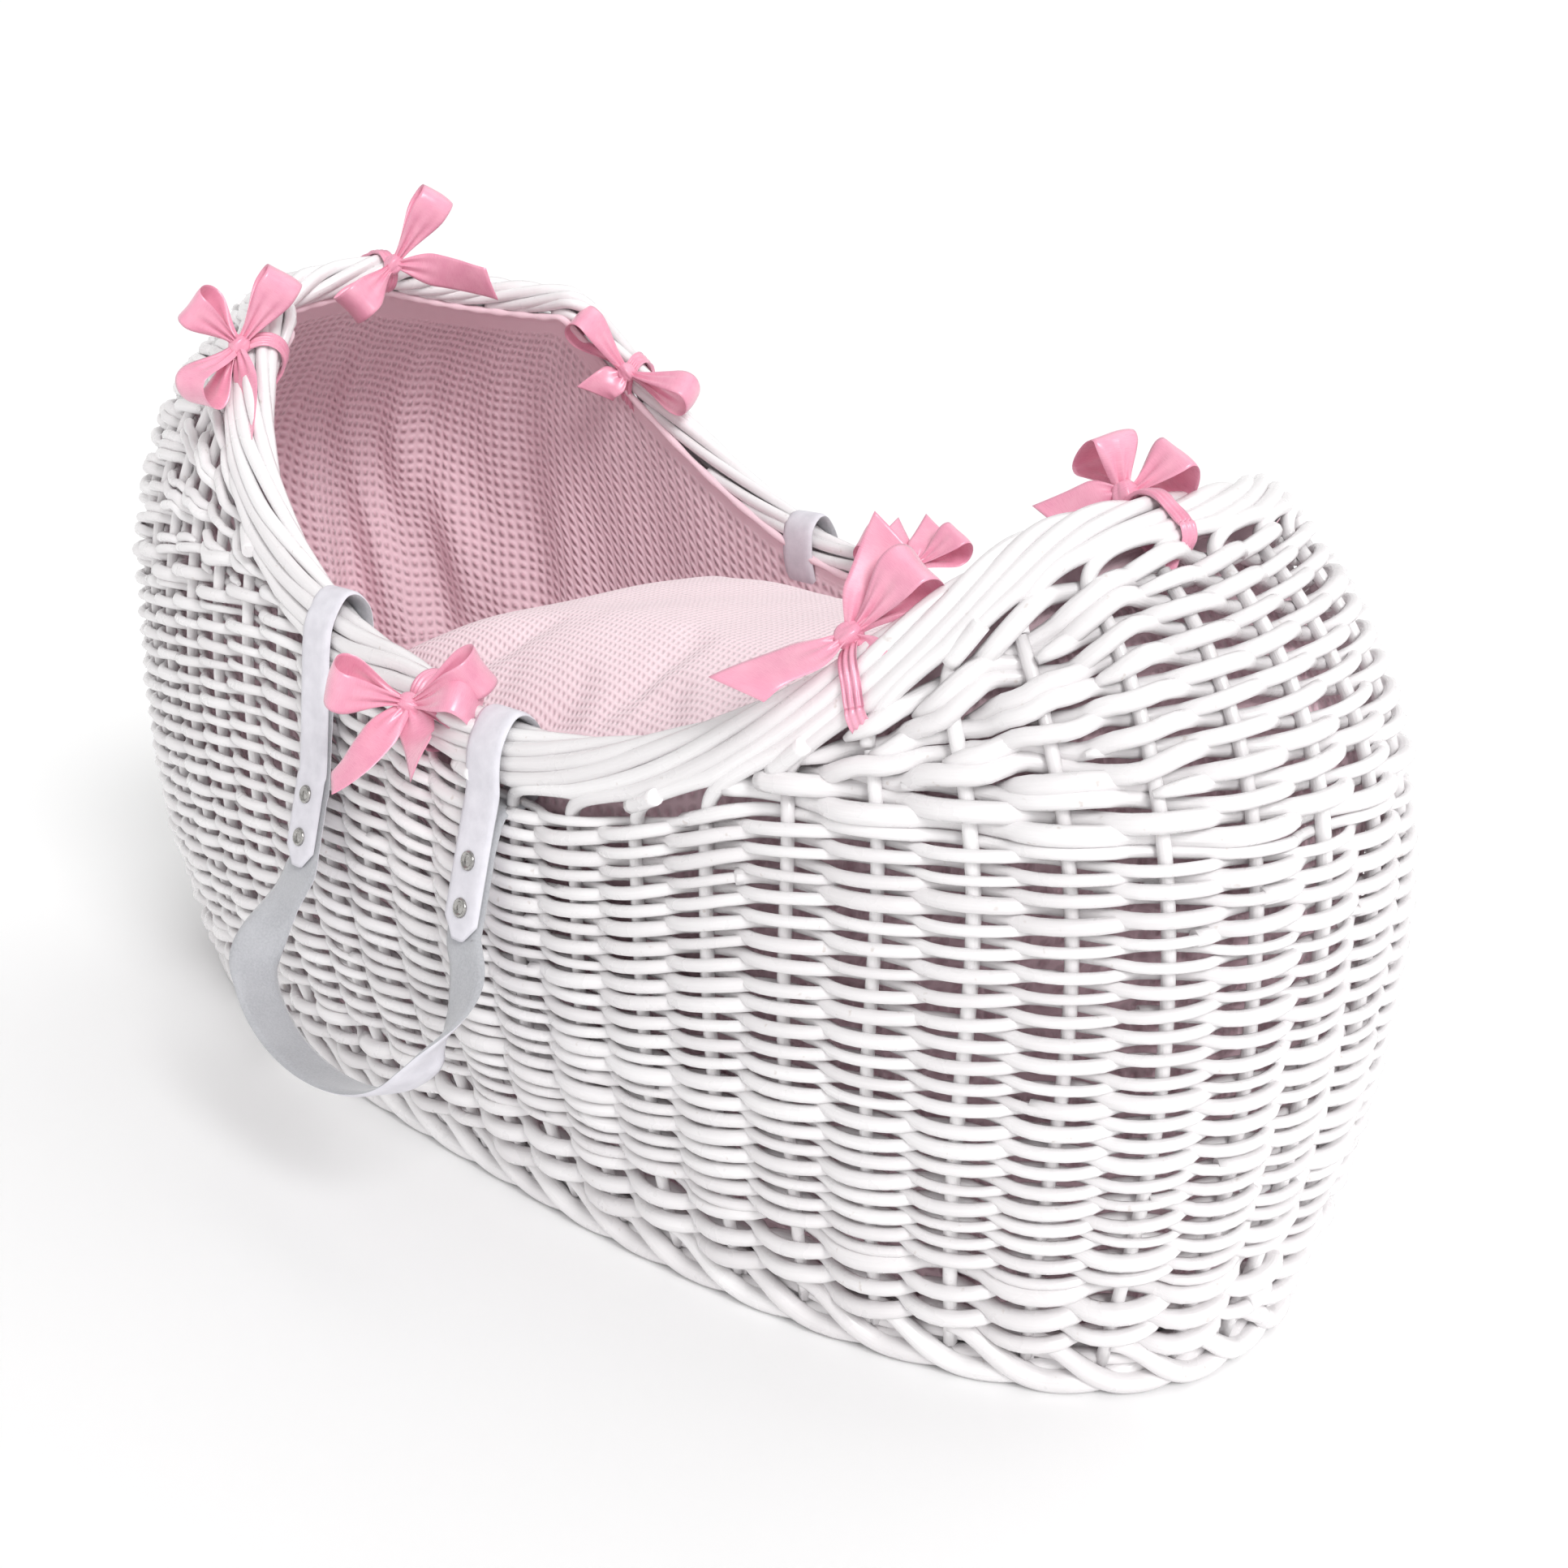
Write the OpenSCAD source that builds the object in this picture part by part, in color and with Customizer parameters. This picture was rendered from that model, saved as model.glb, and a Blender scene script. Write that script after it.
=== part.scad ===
// Pod-shaped moses basket in white willow: a hood at the head (-X), a raised foot (+X),
// a cotton lining, mattress and coverlet, two leather carrying handles and ribbon bows.
// Millimetres, +Z up, origin on the floor under the middle of the basket.

/* [Basket] */
// Length of the base
base_len = 790; // [640:5:960]
// Width of the base
base_w = 288; // [230:2:350]
// Width of the wall at its widest
wall_w = 368; // [300:2:450]
// How far the foot end leans out past the base
foot_flare = 36; // [20:1:60]
// How far the head end leans out past the base
head_flare = 25; // [15:1:60]
// Height of the rim at the waist
waist_h = 265; // [220:1:320]
// Height of the rim at the foot
foot_h = 380; // [315:1:460]
// Height of the rim at the head
head_h = 460; // [380:1:560]
// Height at which the foot end is widest
foot_wide_h = 200; // [150:1:250]
// Height at which the head end is widest
head_wide_h = 268; // [200:1:320]
// Height at which the sides are widest
side_wide_h = 177; // [120:1:220]
// How far the foot end would close in at its crown
foot_close = 357; // [280:1:420]
// How far the head hood would close in at its crown
head_close = 426; // [350:1:480]
// How far the sides would close in at the crown
side_close = 236; // [180:1:280]
// Fullness of the hoods, where 2 is a round dome
dome_power = 2.4; // [2:0.1:3]
// Squareness of the plan, where 2 is an ellipse
plan_power = 2.6; // [2.2:0.1:3.2]

/* [Willow] */
// Thickness of the woven wall
weave_t = 7; // [5:0.5:10]
// Diameter of a border rod
rod_d = 7.6; // [6:0.2:11]
// Diameter of a stake
stake_d = 5; // [3:0.5:7]
// Number of stakes round the wall
stake_count = 52; // [40:2:60]
// Height of the foot border
foot_border_h = 10; // [8:0.5:14]
// Width of the foot border
foot_border_w = 20; // [14:1:26]
// Open space between the foot border and the first row of the wall
foot_gap_h = 12; // [8:0.5:16]
// Top of the thick band at the bottom of the wall
lower_wale_top = 62; // [50:1:80]
// Height at which the weave gives way to the foot's thick packing
foot_seam_h = 260; // [225:1:285]
// Height at which the weave gives way to the head hood's thick packing
head_seam_h = 282; // [225:1:310]
// Thickness of the woven base
base_t = 7; // [5:0.5:10]
// Diameter of a base stick
base_stick_d = 7; // [5:0.5:9]

/* [Bedding] */
// Thickness of the lining cloth
liner_t = 2.5; // [1.5:0.5:4]
// Diameter of the lining's hem
hem_d = 6; // [4:0.5:8]
// Thickness of the mattress
mattress_t = 32; // [25:1:45]
// Height of the coverlet above the mattress
coverlet_h = 226; // [190:1:240]
// Where the coverlet's free edge lies, measured from the middle towards the head
coverlet_reach = 140; // [90:1:170]
// Room between soft pieces
soft_gap = 3; // [2:0.5:6]

/* [Handles] */
// Width of the leather strap
strap_w = 25; // [20:1:32]
// Thickness of the leather strap
strap_t = 3; // [2:0.2:4]
// Where the middle of the handles lies along the basket
handle_x = 23; // [-20:1:60]
// Spacing of a handle's two legs
handle_span = 138; // [110:1:180]
// Height of the bottom of the hanging strap
handle_low = 80; // [60:1:110]
// How far a hanging strap swings wide of its legs
handle_bulge = 70; // [60:1:140]
// How far a hanging strap stands off the wall, in degrees
handle_lean = 15; // [0:1:25]
// Distance from the rim down to the turn of a strap
handle_turn_drop = 44; // [36:1:70]
// Length of the doubled end below the turn
handle_tail = 54; // [50:1:80]
// Diameter of a rivet cap
rivet_d = 9; // [7:0.5:12]
// Spacing of the two rivets in a strap end
rivet_pitch = 22; // [16:1:28]

/* [Bows] */
// Width of the ribbon
ribbon_w = 24; // [16:1:30]
// Thickness of the ribbon
ribbon_t = 0.8; // [0.5:0.1:1.5]
// Length of a loop of a bow
loop_len = 46; // [34:1:60]
// Length of a tail of a bow
bow_tail_len = 52; // [40:1:70]
// Diameter of the knot of a bow
knot_d = 13; // [10:0.5:18]

/* [Hidden] */
sides = ["near", "far"];
ends = ["left", "right"];
rim_rods = 4;
BOWS = [
  ["head_top_bow", 180],
  ["near_hood_bow", -115],
  ["far_hood_bow", 110],
  ["near_waist_bow", -87],
  ["far_waist_bow", 87],
  ["near_foot_bow", -51],
  ["far_foot_bow", 51],
  ["foot_top_bow", -6]
];

white = [0.93, 0.93, 0.94];
pink = [0.94, 0.80, 0.86];
leather = [0.82, 0.82, 0.85];
satin = [0.93, 0.58, 0.68];

fit_gap = 0.3;
half_len = base_len / 2;
half_w = base_w / 2;
foot_crown_gap = 60;
head_crown_gap = 26;
side_crown_gap = 60;
waist_angle = 80;
head_rise_share = 0.45;
mid_x = (foot_flare - head_flare) / 2;
rod_pitch = rod_d + 3 * fit_gap;
rod_inset = rod_d / 2 - 0.4;
border_depth = rim_rods * rod_pitch + 1.5;
stake_inset = weave_t + 3.5 * fit_gap + stake_d / 2;
// Room for flat facets to cut across the curve of the hoods
facet_room = 2;
liner_inset = weave_t + stake_d + 4 * fit_gap + facet_room;
liner_floor = foot_border_h + base_stick_d + base_t + 1;
mattress_z = liner_floor + liner_t + fit_gap;
coverlet_z = mattress_z + mattress_t + soft_gap / 2;
wale_d = 8;
COLS = 64;
ROUND = 8;

// ---- The pod's surface: a superellipse at every height ----

// A signed power, which squares off the plan
function squared(v) = sign(v) * pow(abs(v), 2 / plan_power);

// Half-size at height z: swells to its widest, then closes over like a dome
function swell(z, low, wide, wide_z, crown_z, close) =
  z < wide_z
    ? wide - (wide - low) * pow(1 - z / wide_z, 2)
    : wide - close
        * (1 - pow(max(0, 1 - pow((z - wide_z) / (crown_z - wide_z), dome_power)), 1 / dome_power));

function foot_size(z) =
  swell(z, half_len, half_len + foot_flare, foot_wide_h, foot_h + foot_crown_gap, foot_close);
function head_size(z) =
  swell(z, half_len, half_len + head_flare, head_wide_h, head_h + head_crown_gap, head_close);
function side_size(z) =
  swell(z, half_w, wall_w / 2, side_wide_h, head_h + side_crown_gap, side_close);

// A point of the outer surface; angle 0 is the foot, 180 the head, and minus is the near side
function skin(a, z) = [
  (cos(a) > 0 ? foot_size(z) : head_size(z)) * squared(cos(a)) - mid_x,
  side_size(z) * squared(sin(a)),
  z
];

function unit(v) = v / norm(v);
function along(a, z) = skin(a + 1, z) - skin(a - 1, z);
function up_wall(a, z) = unit(skin(a, z + 1) - skin(a, z - 1));
function outward(a, z) = unit(cross(along(a, z), up_wall(a, z)));

// A point at depth d inside the outer surface
function wall(a, z, d) = skin(a, z) - d * outward(a, z);

// ---- The rim ----

function smooth(t) = let (u = min(1, max(0, t))) u * u * (3 - 2 * u);
function rim_z(a) =
  let (d = abs(a) > 180 ? 360 - abs(a) : abs(a), t = (d - waist_angle) / (180 - waist_angle))
  d < waist_angle
    ? waist_h + (foot_h - waist_h) * (1 - pow(smooth(d / waist_angle), 2))
    : waist_h + (head_h - waist_h) * (0.88 * smooth(t / head_rise_share) + 0.12 * t * t);

// Height of the line that runs a distance below the rim, measured square to it on the wall
function below_rim(a, dist) =
  let (z = rim_z(a),
       rim = unit(skin(a + 1, rim_z(a + 1)) - skin(a - 1, rim_z(a - 1))),
       up = up_wall(a, z))
  z - dist * up[2] / norm(cross(rim, up));

// ---- Even steps round the wall ----

step_angle = 2;
step_lengths = [for (a = [-180:step_angle:180 - step_angle])
  norm(skin(a + step_angle, side_wide_h) - skin(a, side_wide_h))];
function running(v, i = 0, sum = 0) =
  i == len(v) ? [[sum, 180]] : concat([[sum, -180 + i * step_angle]], running(v, i + 1, sum + v[i]));
even_table = running(step_lengths);
girth = even_table[len(even_table) - 1][0];

// The angle at a share t of the way round, from -180 at 0 to 180 at 1
function even(t) = lookup(t * girth, even_table);
even_angles = [for (i = [0:COLS - 1]) even(i / COLS)];

// ---- Builders ----

// A solid through rings of points; the rings close on themselves when loop is true
module loft(rings, loop = false) {
  m = len(rings[0]);
  n = len(rings);
  side_faces = [for (i = [0:loop ? n - 1 : n - 2]) for (j = [0:m - 1]) for (k = [0, 1])
    let (a = i * m + j,
         b = i * m + (j + 1) % m,
         c = ((i + 1) % n) * m + (j + 1) % m,
         d = ((i + 1) % n) * m + j)
    k == 0 ? [a, c, b] : [a, d, c]];
  cap_faces = loop ? [] : [for (j = [0:m / 2 - 2]) for (k = [0:3])
    let (s = (n - 1) * m)
    k == 0 ? [j, j + 1, m - 1 - j]
    : k == 1 ? [j + 1, m - 2 - j, m - 1 - j]
    : k == 2 ? [s + j, s + m - 1 - j, s + j + 1]
    : [s + j + 1, s + m - 1 - j, s + m - 2 - j]];
  polyhedron(points = [for (r = rings) for (p = r) p], faces = concat(side_faces, cap_faces));
}

// The cross-section of a wall between two heights and two depths
function strip(a, z0, z1, outer, inner, rows) = concat(
  [for (i = [0:rows]) wall(a, z0 + (z1 - z0) * i / rows, inner)],
  [for (i = [rows:-1:0]) wall(a, z0 + (z1 - z0) * i / rows, outer)]
);

// A ring of points square to direction t
function disc(centre, t, r, count) =
  let (side = unit(cross(t, [0, 0.05, 1])), up = cross(t, side))
  [for (i = [0:count - 1]) centre + r * (cos(360 * i / count) * side + sin(360 * i / count) * up)];

// A round rod along a path
module rod(path, d, loop = false, count = ROUND) {
  n = len(path);
  loft([for (i = [0:n - 1])
    let (before = path[loop ? (i + n - 1) % n : max(0, i - 1)],
         after = path[loop ? (i + 1) % n : min(n - 1, i + 1)])
    disc(path[i], unit(after - before), d / 2, count)], loop);
}

// A flat strip along a path, with the direction of its width given at each point
module band(path, widths, w, t) {
  n = len(path);
  loft([for (i = [0:n - 1])
    let (run = unit(path[min(n - 1, i + 1)] - path[max(0, i - 1)]),
         face = unit(cross(run, widths[i])),
         wide = unit(cross(face, run)) * w / 2,
         thick = face * t / 2)
    [path[i] - wide - thick, path[i] + wide - thick, path[i] + wide + thick, path[i] - wide + thick]]);
}

// The outline of the basket at height z, drawn in by a depth
module outline(z, depth) {
  polygon([for (a = even_angles)
    let (p = skin(a, z), q = unit([along(a, z)[1], -along(a, z)[0]]))
    [p[0] - depth * q[0], p[1] - depth * q[1]]]);
}

// ---- Willow ----

module foot_border() {
  color(white) linear_extrude(foot_border_h) difference() {
    outline(0, 0);
    outline(0, foot_border_w);
  }
}

// Sticks that run the length of the base, lying on the foot border's inner edge
base_inner_w = base_w - 2 * foot_border_w;
module base_sticks() {
  count = 5;
  color(white) for (i = [0:count - 1]) {
    y = (i - (count - 1) / 2) * base_inner_w / (count + 1);
    reach = half_len * pow(1 - pow(abs(y) / half_w, plan_power), 1 / plan_power)
      - stake_inset - stake_d / 2 - 1;
    translate([-reach - mid_x, y, foot_border_h + base_stick_d / 2]) rotate([0, 90, 0])
      cylinder(h = 2 * reach, d = base_stick_d, $fn = 24);
  }
}

// Short sticks across the base, under the long ones and inside the foot border
module base_cross_sticks() {
  count = 9;
  d = foot_border_h - 2;
  color(white) for (i = [0:count - 1]) {
    x = (i - (count - 1) / 2) * base_len / (count + 1);
    reach = (half_w - foot_border_w)
      * pow(1 - pow(abs(x) / (half_len - foot_border_w), plan_power), 1 / plan_power) - 2;
    translate([x - mid_x, reach, foot_border_h - d / 2]) rotate([90, 0, 0])
      cylinder(h = 2 * reach, d = d, $fn = 24);
  }
}

module base_weave() {
  color(white) translate([0, 0, foot_border_h + base_stick_d]) linear_extrude(base_t)
    outline(foot_border_h + base_stick_d, liner_inset);
}

// Rings stand closer together towards the top, where the hoods curve most
module stakes() {
  rows = 9;
  color(white) for (i = [0:stake_count - 1]) {
    a = even((i + 0.5) / stake_count);
    top = below_rim(a, border_depth + stake_d / 2);
    path = [for (j = [0:rows])
      wall(a, foot_border_h + (top - foot_border_h) * (1 - pow(1 - j / rows, 1.5)), stake_inset)];
    rod(path, stake_d, count = 6);
  }
}

module lower_wale() {
  z0 = foot_border_h + foot_gap_h;
  color(white) loft([for (a = even_angles) strip(a, z0, lower_wale_top, 0, weave_t, 2)], true);
}

// The body's weave, up to the seam, or to the border where that is lower
function seam_z(a) = cos(a) > 0 ? foot_seam_h : head_seam_h;
function weave_top(a) = min(seam_z(a), below_rim(a, border_depth) - fit_gap);
module wall_weave() {
  color(white) loft([for (a = even_angles)
    strip(a, lower_wale_top + fit_gap, weave_top(a), 0, weave_t, 6)], true);
}

// How far round from its middle each hood stands above its seam
hood_min = 6;
function packing_z(a) = seam_z(a) + wale_d + 2 * fit_gap;
function hood_room(a) = below_rim(a, border_depth) - packing_z(a);
function hood_edge(a, dir) = hood_room(a) < hood_min ? a - dir : hood_edge(a + dir, dir);
foot_hood_angle = hood_edge(2, 1);
head_hood_angle = hood_edge(178, -1);
HOOD_COLS = 36;
// The packing stops a little below the lowest rim rod, which has its own facets
packing_drop = border_depth + 3;
function foot_hood_at(t) = -foot_hood_angle + 2 * foot_hood_angle * t;
function head_hood_at(t) = head_hood_angle + 2 * (180 - head_hood_angle) * t;

// One thick rod that lies on the seam under a hood
module wale_rod(turn) {
  color(white) rod([for (i = [0:HOOD_COLS])
    wall(turn(i / HOOD_COLS), seam_z(turn(i / HOOD_COLS)) + fit_gap + wale_d / 2, wale_d / 2)], wale_d);
}
module head_wale() wale_rod(function(t) head_hood_at(t));
module foot_wale() wale_rod(function(t) foot_hood_at(t));

// A hood's shell between two depths, from a height up to a distance below the rim
module hood(turn, z0, dist, outer, inner, cols = HOOD_COLS) {
  rows = 6;
  loft([for (i = [0:cols])
    let (a = turn(i / cols))
    strip(a, z0, below_rim(a, dist) - fit_gap, outer, inner, rows)]);
}
module head_packing() {
  color(white) hood(function(t) head_hood_at(t), packing_z(180), packing_drop, 0, weave_t);
}
module foot_packing() {
  color(white) hood(function(t) foot_hood_at(t), packing_z(0), packing_drop, 0, weave_t);
}

// Rods laid side by side round the opening; number 1 is the top one
module rim_rod(i) {
  color(white) rod([for (a = even_angles)
    wall(a, below_rim(a, rod_d / 2 + (i - 1) * rod_pitch), rod_inset)], rod_d, true, 6);
}

// ---- Lining and bedding ----

liner_split = 190;
liner_drop = rod_d;

module liner_base() {
  color(pink) translate([0, 0, liner_floor]) linear_extrude(liner_t)
    outline(liner_floor, liner_inset + liner_t + 1);
}

module liner_wall() {
  color(pink) loft([for (a = even_angles)
    strip(a, liner_floor, liner_split, liner_inset, liner_inset + liner_t, 4)], true);
}

// The hood linings meet at the waist
liner_meet = 88;
LINER_COLS = 52;
function liner_foot_at(t) = -liner_meet + 2 * liner_meet * t;
function liner_head_at(t) = liner_meet + 1 + 2 * (179 - liner_meet) * t;
module liner_hood(turn) {
  color(pink)
    hood(turn, liner_split + fit_gap, liner_drop, liner_inset, liner_inset + liner_t, LINER_COLS);
}
module liner_head() liner_hood(function(t) liner_head_at(t));
module liner_foot() liner_hood(function(t) liner_foot_at(t));

hem_room = 1.5;
module liner_hem() {
  color(pink) rod([for (a = even_angles)
    wall(a, below_rim(a, liner_drop - hem_d / 2 - hem_room), liner_inset + liner_t / 2)],
    hem_d, true, 6);
}

mattress_inset = liner_inset + liner_t + soft_gap;
module mattress() {
  color([0.97, 0.96, 0.95]) translate([0, 0, mattress_z]) linear_extrude(mattress_t)
    outline(mattress_z, mattress_inset);
}

// A puffed dome over the foot half: rings that draw in as they rise, cut by a soft free edge
coverlet_inset = mattress_inset + soft_gap;
function coverlet_point(a, s) =
  let (lift = sin(90 * s),
       shrink = s < 1 ? pow(1 - pow(s, 4), 0.5) : 0,
       z = coverlet_z + coverlet_h * lift,
       rim = wall(a, coverlet_z, coverlet_inset),
       centre = [(half_len - coverlet_reach) / 2 - mid_x, 0],
       x = max(rim[0], -coverlet_reach - mid_x + 14 * pow(rim[1] / half_w, 2)))
  [centre[0] + (x - centre[0]) * shrink, rim[1] * shrink, z];
module coverlet() {
  rows = 7;
  cols = 40;
  top = [(half_len - coverlet_reach) / 2 - mid_x, 0, coverlet_z + coverlet_h];
  edge = 104;
  angles = concat([for (i = [0:cols - 1]) -edge + 2 * edge * i / (cols - 1)]);
  rings = [for (r = [0:rows - 1]) [for (a = angles) coverlet_point(a, r / rows)]];
  n = cols;
  color(pink) polyhedron(
    points = concat([for (r = rings) for (p = r) p], [top, [top[0], 0, coverlet_z]]),
    faces = concat(
      [for (r = [0:rows - 2]) for (j = [0:n - 1]) [r * n + j, (r + 1) * n + j, (r + 1) * n + (j + 1) % n]],
      [for (r = [0:rows - 2]) for (j = [0:n - 1])
        [r * n + j, (r + 1) * n + (j + 1) % n, r * n + (j + 1) % n]],
      [for (j = [0:n - 1]) [(rows - 1) * n + j, rows * n, (rows - 1) * n + (j + 1) % n]],
      [for (j = [0:n - 1]) [j, (j + 1) % n, rows * n + 1]]
    )
  );
}

// ---- Handles ----

// Angle of the wall at a place along the basket, on the far side
function angle_at(x, a = 40) = skin(a, waist_h)[0] <= x ? a : angle_at(x, a + 0.5);
function leg_x(end) = handle_x + (end == "left" ? -1 : 1) * handle_span / 2;
function leg_angle(end) = angle_at(leg_x(end));
turn_z = min([for (e = ends) rim_z(leg_angle(e))]) - handle_turn_drop;
turn_r = strap_t + 0.2;
turn_y = max([for (z = [turn_z - handle_tail:6:turn_z]) side_size(z)]) + turn_r + 0.8;

// The hanging strap: straight down past the rivets, then one quarter-turn twist into the U
module strap() {
  steps = 30;
  leg = 6;
  low_z = turn_z - handle_tail;
  depth = (low_z - handle_low) * 4 / 3;
  inner_y = turn_y - strap_t / 2 - 0.1;
  outer_y = turn_y + strap_w / 2 + 1;
  function bez(t, a, b) = (pow(1 - t, 3) * a + 3 * t * (1 - t) * (1 - t) * b
    - 3 * t * t * (1 - t) * b - pow(t, 3) * a);
  function drop(t) = low_z - 3 * t * (1 - t) * depth;
  function past(t) = max(0, min(t, 1 - t) - 0.03);
  function turned(t) = smooth(past(t) / 0.21);
  curve = [for (i = [0:steps]) let (t = i / steps)
    [handle_x + bez(t, -handle_span / 2, -handle_span / 2 - handle_bulge),
     inner_y + (outer_y - inner_y) * smooth(past(t) / 0.17), drop(t)]];
  left = [for (i = [0:leg - 1]) [leg_x("left"), inner_y, turn_z - handle_tail * i / leg]];
  right = [for (i = [leg - 1:-1:0]) [leg_x("right"), inner_y, turn_z - handle_tail * i / leg]];
  widths = concat(
    [for (i = left) [1, 0, 0]],
    [for (i = [0:steps]) let (t = i / steps, w = 90 * turned(t), s = t < 0.5 ? 1 : -1)
      [s * cos(w), sin(w), 0]],
    [for (i = right) [-1, 0, 0]]
  );
  color(leather) {
    band(concat(left, curve, right), widths, strap_w, strap_t);
    for (e = ends)
      translate([leg_x(e) - strap_w / 2, turn_y, turn_z]) rotate([0, 90, 0])
        cylinder(h = strap_w, r = turn_r, $fn = 32);
  }
}

// The pointed end of the strap, riveted over the hanging one
module tail(end) {
  w = strap_w / 2;
  point = 9;
  color(leather) translate([leg_x(end), turn_y + 0.1 + strap_t, turn_z - turn_r - 0.2]) rotate([90, 0, 0])
    linear_extrude(strap_t) difference() {
      polygon([[-w, 0], [w, 0], [w, -handle_tail + point], [w - point, -handle_tail],
               [point - w, -handle_tail], [-w, -handle_tail + point]]);
      for (z = rivet_drops) translate([0, z + turn_r + 0.2]) circle(d = rivet_post_d, $fn = 24);
    }
}

rivet_post_d = 3.4;
rivet_cap_t = 1.8;
rivet_drops = [for (i = [0, 1]) -handle_tail + 15 + i * rivet_pitch];
module rivets(end) {
  color([0.75, 0.75, 0.77]) for (z = rivet_drops)
    translate([leg_x(end), turn_y + 0.1 + strap_t, turn_z + z]) rotate([-90, 0, 0]) rotate_extrude($fn = 32)
      polygon([[0, -strap_t], [rivet_post_d / 2, -strap_t], [rivet_post_d / 2, 0.05], [rivet_d / 2, 0.05],
               [rivet_d / 2, rivet_cap_t * 0.5], [rivet_d / 2 - 1, rivet_cap_t], [0, rivet_cap_t]]);
}

// The part of the strap that stays round the rim: outside, over the border and down inside
module rim_loop(end) {
  a = leg_angle(end);
  off = strap_t / 2 + 1.9;
  slope_room = 6;
  x = leg_x(end);
  inner_d = 2 * rod_inset + 0.4 + off;
  low = turn_z + turn_r + 4.6;
  top = rim_z(a);
  shoulder = below_rim(a, rod_d);
  function at(z, d) = let (p = wall(a, z, d)) [x, p[1], p[2]];
  crown = at(top, rod_inset);
  out_top = at(shoulder, -off);
  in_top = at(shoulder, inner_d);
  outside = [for (i = [0:4]) at(low + (shoulder - low) * i / 4, -off)];
  over = [for (i = [1:5]) let (w = 180 * i / 6, mid = (out_top + in_top) / 2)
    mid + (out_top - mid) * cos(w) + (crown + [0, 0, off + slope_room] - mid) * sin(w)];
  inside = [for (i = [0:2]) at(shoulder - (border_depth - rod_d - 6) * i / 2, inner_d)];
  path = concat(outside, over, inside);
  color(leather) band(path, [for (p = path) [1, 0, 0]], strap_w, strap_t);
}

// A handle's moving parts, turned out from the wall about the strap's turn
module leaning() {
  translate([0, turn_y, turn_z]) rotate([handle_lean, 0, 0]) translate([0, -turn_y, -turn_z]) children();
}

// Everything of a handle is made on the far side and mirrored to the near side
module on_side(side) {
  if (side == "far") children();
  else mirror([0, 1, 0]) children();
}

// ---- Bows ----

// Each bow sits on the rim: u runs along the rim, v square to it in the wall, w outward
module bow(a) {
  u = unit(skin(a + 1, rim_z(a + 1)) - skin(a - 1, rim_z(a - 1)));
  n = outward(a, rim_z(a));
  v = unit(cross(n, u));
  up = v[2] < 0 ? -v : v;
  origin = wall(a, rim_z(a), rod_inset) + up * (knot_d / 2 + 1.5);
  function at(p) = origin + p[0] * u + p[1] * up + p[2] * n;
  function turned(p) = p[0] * u + p[1] * up + p[2] * n;
  gap = knot_d / 2 + 0.5;
  steps = 8;
  color(satin) {
    for (s = [-1, 1]) {
      loop_path = [for (i = [0:steps]) let (w = 20 + 320 * i / steps)
        at([s * (gap + loop_len / 2 * (1 - cos(w)) - 1),
            6 + 8 * sin(w) + loop_len * 0.15 * (1 - cos(w)) / 2, 0])];
      band(loop_path, [for (p = loop_path) n], ribbon_w * 0.7, ribbon_t);
      tail_path = [for (i = [0:4]) let (t = i / 4)
        at([s * (gap + 0.62 * bow_tail_len * t), -4, 9 + 14 * sin(90 * t)])];
      band(tail_path, [for (p = tail_path) up], ribbon_w * 0.5, ribbon_t);
    }
    rod([at([-knot_d / 2, 0, 0]), at([knot_d / 2, 0, 0])], knot_d, count = 8);
  }
}

foot_border();
base_sticks();
base_cross_sticks();
base_weave();
stakes();
lower_wale();
wall_weave();
head_wale();
foot_wale();
head_packing();
foot_packing();
for (i = [1:rim_rods])
  rim_rod(i);
liner_base();
liner_wall();
liner_head();
liner_foot();
liner_hem();
mattress();
coverlet();
for (b = BOWS)
  bow(b[1]);
for (s = sides) {
  on_side(s) leaning() strap();
  for (e = ends) {
    on_side(s) leaning() tail(e);
    on_side(s) leaning() rivets(e);
    on_side(s) rim_loop(e);
  }
}
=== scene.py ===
"""Looks of a pod-shaped moses basket in white willow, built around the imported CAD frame.

Sizes are in millimetres until a mesh is made. Angles go round the basket in degrees: 0 is the
foot (+X), 180 the head, minus the near side (-Y). A stake step is the gap between two stakes.
"""
import math

import bpy
import numpy as np
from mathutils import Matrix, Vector


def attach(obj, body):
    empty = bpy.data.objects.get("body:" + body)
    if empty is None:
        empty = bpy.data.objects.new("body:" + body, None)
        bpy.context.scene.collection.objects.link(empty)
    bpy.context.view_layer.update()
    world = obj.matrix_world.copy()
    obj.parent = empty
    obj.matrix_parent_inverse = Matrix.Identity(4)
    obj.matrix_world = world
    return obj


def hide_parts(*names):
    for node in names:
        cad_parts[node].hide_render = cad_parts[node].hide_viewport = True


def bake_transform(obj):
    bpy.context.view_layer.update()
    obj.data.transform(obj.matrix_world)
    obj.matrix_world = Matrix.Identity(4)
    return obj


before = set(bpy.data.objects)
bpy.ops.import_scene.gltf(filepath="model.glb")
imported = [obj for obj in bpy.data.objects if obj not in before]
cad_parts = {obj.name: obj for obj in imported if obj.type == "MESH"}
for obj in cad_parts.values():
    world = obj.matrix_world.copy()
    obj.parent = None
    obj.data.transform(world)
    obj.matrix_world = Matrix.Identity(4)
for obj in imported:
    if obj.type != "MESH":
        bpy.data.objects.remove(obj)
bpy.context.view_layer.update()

MM = 0.001
rng = np.random.default_rng(11)

# ---- The pod's surface, as the CAD model draws it ----

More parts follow.
